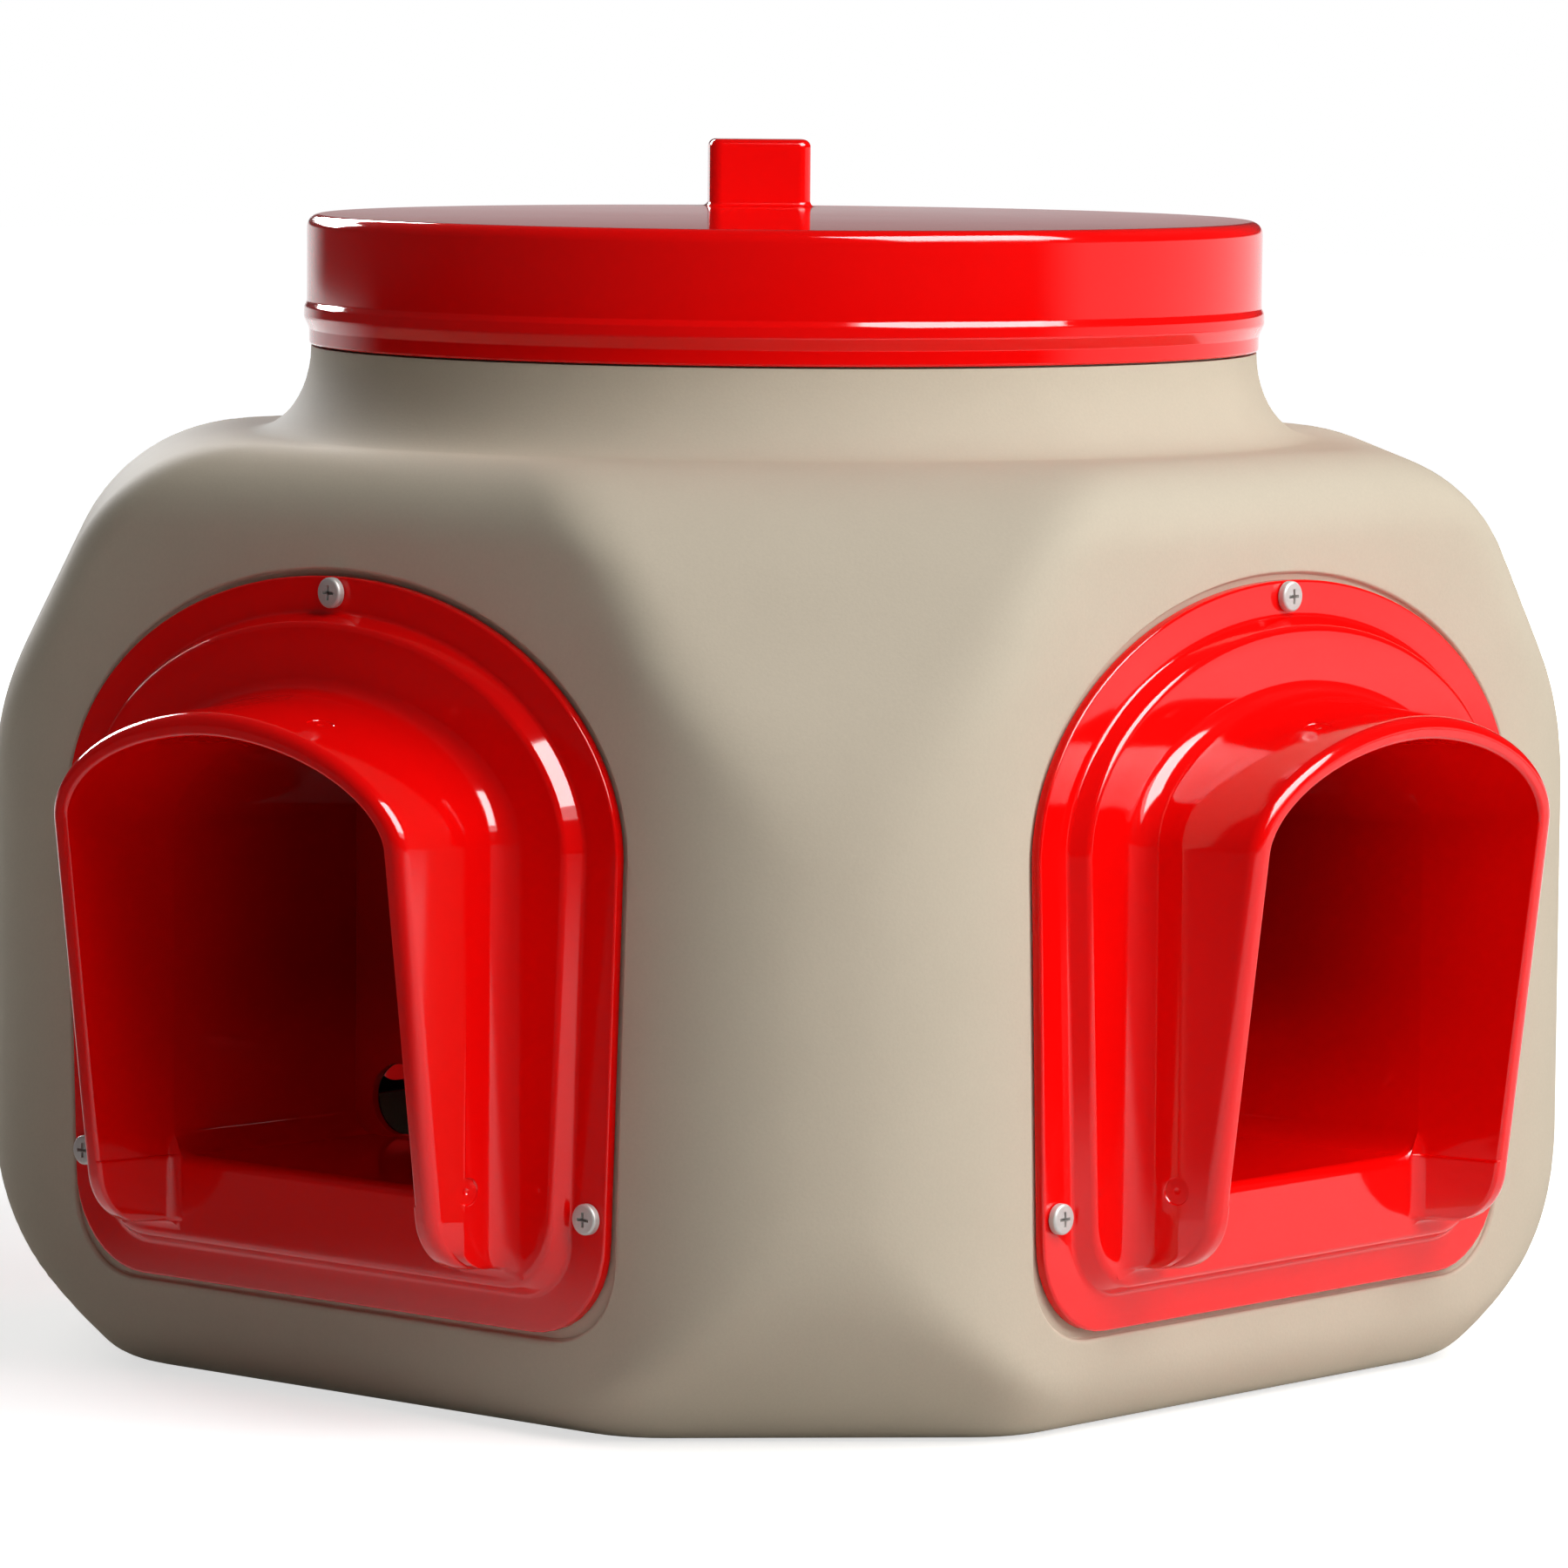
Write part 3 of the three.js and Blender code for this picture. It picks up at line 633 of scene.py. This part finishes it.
# below the tunnel's floor the walls stand in a little, and curve into the panel
def innerOutline(half, spring, rise, grow, fillet):
    edge, ledge, edgeTurns = port["footEdge"], port["innerLedge"], turns(port["edgeSteps"])
    bottom = port["foot"]
    floor, corner = tunnel["floor"], tunnel["corner"]
    half += grow
    low = half - ledge
    wall = [(low, up) for up in footHeights(bottom + edge) + [floor - 4 * ledge, floor - 2 * ledge]]
    wall += [(low + ledge * (1 - math.cos(turn)), floor - ledge * (1 - math.sin(turn))) for turn in edgeTurns]
    wall += [(half, floor + rise) for rise in turns(port["edgeSteps"], corner)[1:]]
    wall = [(across - fillet * min(max((floor + corner - up) / corner, 0), 1), up) for across, up in wall]
    foot = [(low - fillet + edge * (1 - math.sin(turn)), bottom + edge * (1 - math.cos(turn))) for turn in edgeTurns]
    right = [(low - fillet + edge, bottom - port["footCut"])] + foot + wall
    left = [(-across, up) for across, up in reversed(right)]
    return right + archPoints(half, spring, rise + grow, port["power"]) + left


def wallGrow(distance, up):
    start = panelFace + port["filletLength"]
    end = rimFront(up) - port["outerRound"]
    return port["draft"] * min(max((end - distance) / (end - start), 0), 1)


# distances out from the panel, pressed together at the foot, where the rim draws back
def pressed(distance):
    start = distance - panelFace
    span = port["witnessDistance"] + 2 * port["witnessHalf"] - panelFace
    margin = panelFace + port["outerRound"] + port["witnessHalf"]
    return lambda up: panelFace + start * min((rimFront(up) - margin) / span, 1)


def makeHoodBlank():
    def flared(share):
        side, top = port["draft"] + port["filletSide"] * share, port["draft"] + port["filletTop"] * share
        return outerOutline(side, top, port["footFlare"] * share)

    rings = [standFlat(flared(1), flangeFace + overrun)]
    for turn in turns(port["filletSteps"]):
        distance = panelFace + port["filletLength"] * (1 - math.cos(turn))
        rings.append(standAt(flared(1 - math.sin(turn)), pressed(distance)))
    line, half = port["witnessDistance"], port["witnessHalf"]
    for distance, step in ((line - half, 0), (line, port["witness"]), (line + half, 0)):
        grow = wallGrow(distance, port["spring"])
        rings.append(standAt(outerOutline(grow + step, grow + step, 0), pressed(distance)))
    stations = [(-port["outerRound"] * (1 - math.cos(turn)), port["outerRound"] * (1 - math.sin(turn)))
                for turn in turns(port["roundSteps"])]
    stations.append((-port["wall"] - port["mouthCut"], 0))
    for grow, back in stations:
        rings.append(standAt(outerOutline(grow, grow, 0), lambda up: rimFront(up) - back))
    return loftBody(rings)


def makeHoodSpace():
    rounding = port["innerRound"]
    fillet = port["innerFillet"]
    rings = []
    for turn in turns(port["roundSteps"]):
        reach = fillet * (1 - math.cos(turn))
        share = reach / (rimDistance(port["foot"]) - panelFace)
        half = tunnel["half"] + (port["half"] - tunnel["half"]) * share
        outline = innerOutline(half, tunnel["spring"], tunnel["rise"], 0, fillet * (1 - math.sin(turn)))
        rings.append(standFlat(outline, panelFace + reach))
    for turn in turns(port["roundSteps"]):
        grow = rounding * (1 - math.cos(turn))
        back = rounding * (1 - math.sin(turn))
        outline = innerOutline(port["half"], port["spring"], port["rise"], grow, 0)
        rings.append(standAt(outline, lambda up: rimFront(up) - back))
    outline = innerOutline(port["half"], port["spring"], port["rise"], rounding, 0)
    rings.append(standAt(outline, lambda up: rimDistance(up) + port["rimCut"]))
    return loftBody(rings)


def topUp(across, distance):
    grow = port["wall"] + wallGrow(distance, port["spring"] + port["rise"])
    share = abs(across) / (port["half"] + grow)
    return port["spring"] + (port["rise"] + grow) * (1 - share ** port["power"]) ** (1 / port["power"])


# where each round mark sits on the hood, and which way it faces
def markSpots():
    spots = []
    near = mark["near"]
    distance = mark["topDistance"]
    for across in (-mark["topAcross"], mark["topAcross"]):
        up = topUp(across, distance)
        along = Vector((2 * near, 0, topUp(across + near, distance) - topUp(across - near, distance)))
        outward = Vector((0, -2 * near, topUp(across, distance + near) - topUp(across, distance - near)))
        spots.append((Vector((across, -distance, up)), outward.cross(along)))
    distance, up = mark["sideDistance"], mark["sideUp"]
    slant = (wallGrow(distance - near, up) - wallGrow(distance + near, up)) / (2 * near)
    half = port["half"] + port["wall"] + wallGrow(distance, up)
    spots += [(Vector((side * half, -distance, up)), Vector((side, -slant, 0))) for side in (-1, 1)]
    return [Matrix.Translation(place) @ facing.normalized().to_track_quat("Z", "Y").to_matrix().to_4x4()
            for place, facing in spots]


def tunnelRings(grow, stations):
    rings = []
    for distance, tighten, drop in stations:
        share = (distance - tunnelBack) / (panelFace - tunnelBack)
        half = tunnel["backHalf"] + (tunnel["half"] - tunnel["backHalf"]) * share
        corner = tunnel["corner"] + grow
        size = {**tunnel, "half": half, "halfFoot": half, "foot": tunnel["floor"], "corner": corner}
        outline = doorOutline(size, grow - tighten, port["power"])
        base = tunnel["floor"] - grow + tighten
        rings.append([Vector((across, -distance, up - drop * min(max((base + corner - up) / corner, 0), 1)))
                      for across, up in outline])
    return rings


def makePlate():
    edge, back = port["edge"], pocketFloor + screw["gap"]
    plate = [(-port["backEdge"], back), (0, back + port["backEdge"])]
    plate += [(-edge * (1 - math.cos(turn)), flangeFace - edge * (1 - math.sin(turn)))
              for turn in turns(port["roundSteps"])]
    slope = softPath([
        (panel["footRun"], 0, 0),
        (0, 0, panel["footFillet"]),
        (-panel["slope"], panel["height"], panel["topRound"]),
        (-panel["slope"] - panel["topRun"], panel["height"], 0),
    ], panel["steps"])
    rings = [standFlat(doorOutline(flange, grow), distance) for grow, distance in plate]
    return loftBody(rings + [standFlat(doorOutline(panel, grow), flangeFace + rise) for grow, rise in slope])


def makeTunnelBlank():
    edge, back = tunnel["outerBackRound"], tunnelBack - tunnel["wall"]
    stations = [(back + edge * (1 - math.cos(turn)), edge * (1 - math.sin(turn)), 0)
                for turn in turns(tunnel["outerBackSteps"])]
    return loftBody(tunnelRings(tunnel["wall"], stations + [(flangeFace - overrun, 0, 0)]))


def makeTunnelSpace():
    edge, sill = tunnel["backRound"], tunnel["sillRound"]
    stations = [(tunnelBack + edge * (1 - math.cos(turn)), edge * (1 - math.sin(turn)), 0)
                for turn in turns(tunnel["backSteps"])]
    stations += [(panelFace - sill * (1 - math.sin(turn)), 0, sill * (1 - math.cos(turn)))
                 for turn in turns(port["roundSteps"])]
    return loftBody(tunnelRings(0, stations + [(panelFace + tunnel["sillClear"], 0, sill)]))


# a slot with round ends, a little wider where it meets the tunnel
def makeSlotSpace():
    half, radius = feedSlot["half"], feedSlot["height"] / 2
    middle = tunnel["floor"] + feedSlot["lip"] + radius
    outline = [(side * (half - radius) + radius * math.cos(start + turn), radius * math.sin(start + turn))
               for side, start in ((1, -quarter), (-1, quarter)) for turn in turns(feedSlot["steps"], math.pi)]
    stations = [
        (0, tunnelBack - tunnel["wall"] - overrun), (0, tunnelBack - feedSlot["edgeStart"]),
        (feedSlot["edge"], tunnelBack + feedSlot["edgeEnd"]), (feedSlot["edge"], tunnelBack + 2 * overrun)]
    return loftBody([[Vector((across * (1 + grow / half), -distance, middle + rise * (1 + grow / radius)))
                      for across, rise in outline] for grow, distance in stations])


def makeMark(spot):
    depth, (low, high) = mark["depth"], mark["clear"]
    bm = spinBody([
        (0, -depth - mark["dimpleDepth"]),
        (mark["dimpleFloor"], -2 * depth),
        (mark["dimple"], -depth),
        (mark["radius"] - mark["edge"], -depth),
        (mark["radius"], low),
        (mark["radius"], high),
        (0, high),
    ], mark["steps"])
    bmesh.ops.transform(bm, matrix=spot, verts=bm.verts)
    return bm


def makePort():
    body = bodyObject("feedPortFront", makePlate())
    combine(body, "UNION", [bodyObject("hoodBlank", makeHoodBlank()), bodyObject("tunnelBlank", makeTunnelBlank())])
    cutters = [
        bodyObject("tunnelSpace", makeTunnelSpace()), bodyObject("hoodSpace", makeHoodSpace()),
        bodyObject("feedSlot", makeSlotSpace())]
    holeReach = screw["holeDepth"] / 2
    for place in screwPlaces.values():
        hole = addBar(bmesh.new(), *place, screw["hole"], flangeFace - holeReach, flangeFace + holeReach)
        cutters.append(bodyObject("screwHole", hole))
    cutters += [bodyObject("mark", makeMark(spot)) for spot in markSpots()]
    combine(body, "DIFFERENCE", cutters)
    return finishPiece(body, finishes["glossRed"], port["sharp"])


firstPort = makePort()
for count, side in enumerate(sides):
    spin = Matrix.Rotation(count * quarter, 4, "Z")
    piece = firstPort if count == 0 else movedCopy(firstPort, "feedPort" + side.capitalize(), spin)
    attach(piece, "hopper_body")
    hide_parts("feed_port_" + side)
print("feed ports done:", len(firstPort.data.polygons), "faces each")


# lid

lid = {
    "clearance": 0.8, "wall": 4, "ledgeGap": 0.6, "top": 3, "topRound": 3.9, "beadProud": 0.9, "beadLow": 8.5,
    "beadHigh": 13.5, "beadSlant": 0.1, "beadEdge": 1.7, "bandInset": 0.8, "bandHeight": 4.8, "innerRound": 1.2,
    "skirtRound": 0.6, "bandRound": 0.9, "bandFillet": 1.0, "beadRound": 2.4, "beadTopRound": 2.0, "beadFillet": 1.1,
    "roundSteps": 6, "steps": 288, "sharp": 30}
lug = {
    "width": 33.4, "height": 22, "depth": 19, "rimInset": 4, "root": 1.5, "edge": 4.2, "edgeSteps": 8,
    "topRound": 2.6, "topSteps": 6, "foot": 1.6, "footSteps": 5, "turn": 225}
seal = {"thickness": 3.7, "width": 5.4, "gap": 0.3, "lowRound": 0.9, "highRound": 1.2, "roundSteps": 5, "steps": 192}
lidUnder = rimHeight + seal["thickness"] + 2 * seal["gap"]
lidTop = lidUnder + lid["top"]
lidBottom = ledgeHeight + lid["ledgeGap"]
lidInner = neck["radius"] + lid["clearance"]
lidRadius = lidInner + lid["wall"]


def lugOutline(grow):
    radius = lug["edge"] + grow
    width, depth = lug["width"] / 2 + grow - radius, lug["depth"] / 2 + grow - radius
    spots = []
    for place, (across, along) in enumerate(((1, -1), (1, 1), (-1, 1), (-1, -1))):
        for turn in turns(lug["edgeSteps"]):
            angle = (place - 1) * quarter + turn
            spots.append((across * width + radius * math.cos(angle), along * depth + radius * math.sin(angle)))
    return spots


def makeLid():
    bandRadius, beadRadius = lidRadius - lid["bandInset"], lidRadius + lid["beadProud"]
    beadTop = lidBottom + lid["beadHigh"]
    profile = softPath([
        (0, lidUnder, 0),
        (lidInner, lidUnder, lid["innerRound"]),
        (lidInner, lidBottom, lid["skirtRound"]),
        (bandRadius, lidBottom, lid["bandRound"]),
        (bandRadius, lidBottom + lid["bandHeight"], lid["bandFillet"]),
        (beadRadius, lidBottom + lid["beadLow"], lid["beadRound"]),
        (beadRadius - lid["beadSlant"], beadTop - lid["beadEdge"], lid["beadTopRound"]),
        (lidRadius, beadTop, lid["beadFillet"]),
        (lidRadius, lidTop, lid["topRound"]),
        (0, lidTop, 0),
    ], lid["roundSteps"])
    body = bodyObject("lidShell", spinBody(profile, lid["steps"]))

    reach = lidRadius - lug["rimInset"] - lug["depth"] / 2
    foot, edge, lugTop = lug["foot"], lug["topRound"], lidTop + lug["height"]
    stations = [(foot, lidTop - lug["root"])]
    stations += [(foot * (1 - math.sin(turn)), lidTop + foot * (1 - math.cos(turn)))
                 for turn in turns(lug["footSteps"])]
    stations += [(-edge * (1 - math.cos(turn)), lugTop - edge * (1 - math.sin(turn)))
                 for turn in turns(lug["topSteps"])]
    rings = [[Vector((across, along - reach, height)) for across, along in lugOutline(grow)]
             for grow, height in stations]
    bm = loftBody(rings)
    bmesh.ops.transform(bm, matrix=Matrix.Rotation(math.radians(lug["turn"]), 4, "Z"), verts=bm.verts)
    combine(body, "UNION", [bodyObject("lug", bm)])
    return finishPiece(body, finishes["glossRed"], lid["sharp"])


lidShell = makeLid()
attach(lidShell, "lid")
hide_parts("lid")

sealOuter = neck["radius"] - seal["gap"]
sealInner = sealOuter - seal["width"]
sealBottom = rimHeight + seal["gap"]
sealTop = sealBottom + seal["thickness"]
sealProfile = softPath([
    (sealInner, sealBottom, seal["lowRound"]),
    (sealOuter, sealBottom, seal["lowRound"]),
    (sealOuter, sealTop, seal["highRound"]),
    (sealInner, sealTop, seal["highRound"]),
], seal["roundSteps"], True)
sealRing = finishPiece(bodyObject("sealRing", spinBody(sealProfile, seal["steps"], True)), finishes["blackRubber"])
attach(sealRing, "lid")
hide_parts("lid_seal")
print("lid and seal done:", len(lidShell.data.polygons), "faces")


# screws and their inserts

cross = {"arm": 2.4, "half": 0.52, "depth": 2.2, "floorShare": 0.7, "clear": 0.3}


def makeScrew():
    shank, head, end, top = screw["shankRadius"], screw["headRadius"], -screw["shankLength"], screw["headHeight"]
    profile = softPath([
        (0, end, 0),
        (shank - screw["point"], end, 0),
        (shank, end + screw["pointLength"], 0),
        (shank, 0, 0),
        (head, 0, screw["footRound"]),
        (head, top - screw["headCrown"], screw["headRound"]),
        (0, top, 0),
    ], screw["roundSteps"])
    body = bodyObject("screw", spinBody(profile, screw["steps"]))
    arm, half = cross["arm"], cross["half"]
    plus = [(arm, -half), (arm, half), (half, half), (half, arm), (-half, arm), (-half, half),
            (-arm, half), (-arm, -half), (-half, -half), (-half, -arm), (half, -arm), (half, -half)]
    rings = [[Vector((x * size, y * size, height)) for x, y in plus]
             for size, height in ((cross["floorShare"], top - cross["depth"]), (1, top + cross["clear"]))]
    combine(body, "DIFFERENCE", [bodyObject("cross", loftBody(rings))])
    body.data.transform(Matrix.Rotation(quarter, 4, "X"))
    return body


def makeInsert():
    bore, radius, groove = insert["bore"], insert["radius"], insert["groove"]
    corners = [(bore, 0, 0), (radius, 0, insert["innerEnd"])]
    for place in range(insert["grooves"]):
        low = insert["grooveStart"] + place * insert["groovePitch"]
        high = low + insert["grooveWidth"]
        corners += [(radius, low, 0), (radius - groove, low + groove, 0), (radius - groove, high, 0),
                    (radius, high + groove, 0)]
    corners += [(radius, insert["length"], insert["outerEnd"]), (bore, insert["length"], 0)]
    body = bodyObject("insert", spinBody(softPath(corners, insert["roundSteps"]), insert["steps"], True))
    body.data.transform(Matrix.Rotation(quarter, 4, "X"))
    return body


def placeCopies(source, kind, distance, material, nodeStem):
    for count, side in enumerate(sides):
        for label, (across, up) in screwPlaces.items():
            spot = Matrix.Rotation(count * quarter, 4, "Z") @ Matrix.Translation((across, -distance, up))
            piece = movedCopy(source, kind + side.capitalize() + label.capitalize(), spot)
            finishPiece(piece, material)
            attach(piece, "hopper_body")
            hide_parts(nodeStem + side + "_" + label)
    bpy.data.objects.remove(source)


placeCopies(makeScrew(), "screw", flangeFace + screw["gap"], finishes["platedSteel"], "port_screw_")
placeCopies(makeInsert(), "insert", insertInner, finishes["turnedBrass"], "screw_insert_")
print("screws and inserts done")


# floor, light and camera

# lengths in metres; glow is the floor's own light near and far, the other pairs are where a change starts and ends;
# in reflections the floor shows a painted patch of light near the object, and in front its colour is darkened as
# painted shade
studio = {
    "floorSize": 18, "floor": (0.72, 0.72, 0.71), "glow": (0.66, 1.0), "glowEdge": (0.6, 1.8),
    "paintedPoolCentre": (0.35, 0.45, 0), "paintedPoolReach": (0.85, 1.10), "behind": (-0.66, 0.75, 0), "behindEdge": (0.35, 0.75),
    "farEdge": (2.1, 2.8), "backEdge": (0.2, 0.5), "skyEdge": (0.0, 0.045), "ambient": 0.055, "backdrop": 1.0,
    "paintedFrontShade": 0.7, "aimHeight": 0.18}
# azimuth, elevation, distance, (width, height), power, and the only kind of ray that sees the lamp, if there is one
lamps = {
    "keyPanel": (88, 43, 2.6, (1.8, 2.2), 54, None),
    "keyCard": (93, 47, 2.6, (1.95, 1.7), 190, "glossy"),
    "leftPanel": (-104, 28, 2.6, (1.2, 1.6), 18, "diffuse"),
    "leftCard": (-110, 20, 2.6, (1.5, 0.75), 130, "glossy"),
    "rightPanel": (108, 14, 3.0, (2.4, 1.0), 24, "diffuse"),
    "backPanel": (165, 40, 2.6, (1.4, 0.8), 10, "diffuse"),
}
view = {
    "position": (1.742823, -1.980129, 0.424332), "forward": (-0.657418, 0.747619, -0.094169),
    "right": (0.750401, 0.660929, 0.008456), "lens": 192.3812, "sensor": 36, "clipEnd": 60}


# 1 for the rays that see the pale background: those from the camera, and where it is pale also those off gloss
# or through glass
def seesBackground(graph, pale):
    camera, glossy, through = [graph.node("ShaderNodeLightPath", {}, {}, name)
                               for name in ("Is Camera Ray", "Is Glossy Ray", "Is Transmission Ray")]
    return camera.atLeast(glossy.atLeast(through) * pale)


def makeFloor():
    bm = bmesh.new()
    bmesh.ops.create_grid(bm, x_segments=2, y_segments=2, size=studio["floorSize"] / 2)
    floor = bodyObject("floor", bm)
    material, graph = newMaterial("paleFloor")
    place = graph.node("ShaderNodeTexCoord", {}, {}, "Object")
    away = graph.node("ShaderNodeVectorMath", {"operation": "LENGTH"}, {0: place}, "Value")
    off = graph.node("ShaderNodeVectorMath", {"operation": "DISTANCE"}, {0: place, 1: studio["paintedPoolCentre"]}, "Value")
    toward = graph.node("ShaderNodeVectorMath", {"operation": "NORMALIZE"}, {0: place}, "Vector")
    side = graph.node("ShaderNodeVectorMath", {"operation": "DOT_PRODUCT"}, {0: toward, 1: studio["behind"]}, "Value")
    across = graph.node("ShaderNodeSeparateXYZ", {}, {0: toward}, "Y")
    # painted light: a patch of glow near the object that only reflections see
    near = 1 - eased(graph, off, studio["paintedPoolReach"])
    behind = eased(graph, side, studio["behindEdge"])
    far = eased(graph, away, studio["farEdge"]) * eased(graph, across, studio["backEdge"])
    pale = near.atLeast(behind).atLeast(far)
    share = seesBackground(graph, pale)
    # painted shade: in reflections the floor's colour is darker in front, outside the pale areas
    mirrored = graph.node("ShaderNodeLightPath", {}, {}, "Is Glossy Ray")
    colour = graph.node("ShaderNodeVectorMath", {"operation": "SCALE"}, {
        0: studio["floor"], "Scale": 1 - studio["paintedFrontShade"] * mirrored * (1 - pale)}, "Vector")
    low, high = studio["glow"]
    strength = low + (high - low) * eased(graph, away, studio["glowEdge"])
    plain = graph.node("ShaderNodeBsdfDiffuse", {}, {"Color": colour})
    glow = graph.node("ShaderNodeEmission", {}, {"Color": grey(1), "Strength": strength})
    both = graph.node("ShaderNodeAddShader", {}, {0: plain, 1: glow})
    closeMaterial(graph, graph.node("ShaderNodeMixShader", {}, {0: share, 1: plain, 2: both}))
    floor.data.materials.append(material)


def makeLamp(name, azimuth, elevation, distance, size, power, only):
    light = bpy.data.lights.new(name, "AREA")
    light.shape = "RECTANGLE"
    light.size, light.size_y = size
    light.energy = power
    turn, rise = math.radians(azimuth), math.radians(elevation)
    toward = Vector((math.sin(turn) * math.cos(rise), -math.cos(turn) * math.cos(rise), math.sin(rise)))
    holder = bpy.data.objects.new(name, light)
    holder.location = Vector((0, 0, studio["aimHeight"])) + toward * distance
    holder.rotation_euler = (-toward).to_track_quat("-Z", "Y").to_euler()
    holder.visible_diffuse = only != "glossy"
    holder.visible_glossy = only != "diffuse"
    bpy.context.scene.collection.objects.link(holder)


# a pale backdrop behind, a dim room in front, and a plain even light on the object
def makeWorld():
    world = bpy.data.worlds.new("studio")
    world.use_nodes = True
    graph = Graph(world.node_tree)
    direction = graph.node("ShaderNodeTexCoord", {}, {}, "Generated")
    along = graph.node("ShaderNodeSeparateXYZ", {}, {0: direction}, "Y")
    rise = graph.node("ShaderNodeSeparateXYZ", {}, {0: direction}, "Z")
    pale = eased(graph, along, studio["backEdge"]) * (1 - eased(graph, rise, studio["skyEdge"]))
    strength = studio["ambient"] + (studio["backdrop"] - studio["ambient"]) * seesBackground(graph, pale)
    graph.node("ShaderNodeOutputWorld", {}, {
        "Surface": graph.node("ShaderNodeBackground", {}, {"Color": grey(1), "Strength": strength})})
    bpy.context.scene.world = world


def makeCamera():
    camera = bpy.data.cameras.new("camera")
    camera.lens = view["lens"]
    camera.sensor_width = camera.sensor_height = view["sensor"]
    camera.clip_end = view["clipEnd"]
    holder = bpy.data.objects.new("camera", camera)
    forward = Vector(view["forward"]).normalized()
    right = Vector(view["right"]).normalized()
    up = right.cross(forward)
    turned = Matrix((right, up, -forward)).transposed().to_4x4()
    holder.matrix_world = Matrix.Translation(view["position"]) @ turned
    bpy.context.scene.collection.objects.link(holder)
    bpy.context.scene.camera = holder


makeFloor()
for name, lamp in lamps.items():
    makeLamp(name, *lamp)
makeWorld()
makeCamera()
bpy.context.scene.view_settings.view_transform = "Standard"
print("floor, lamps and camera done")
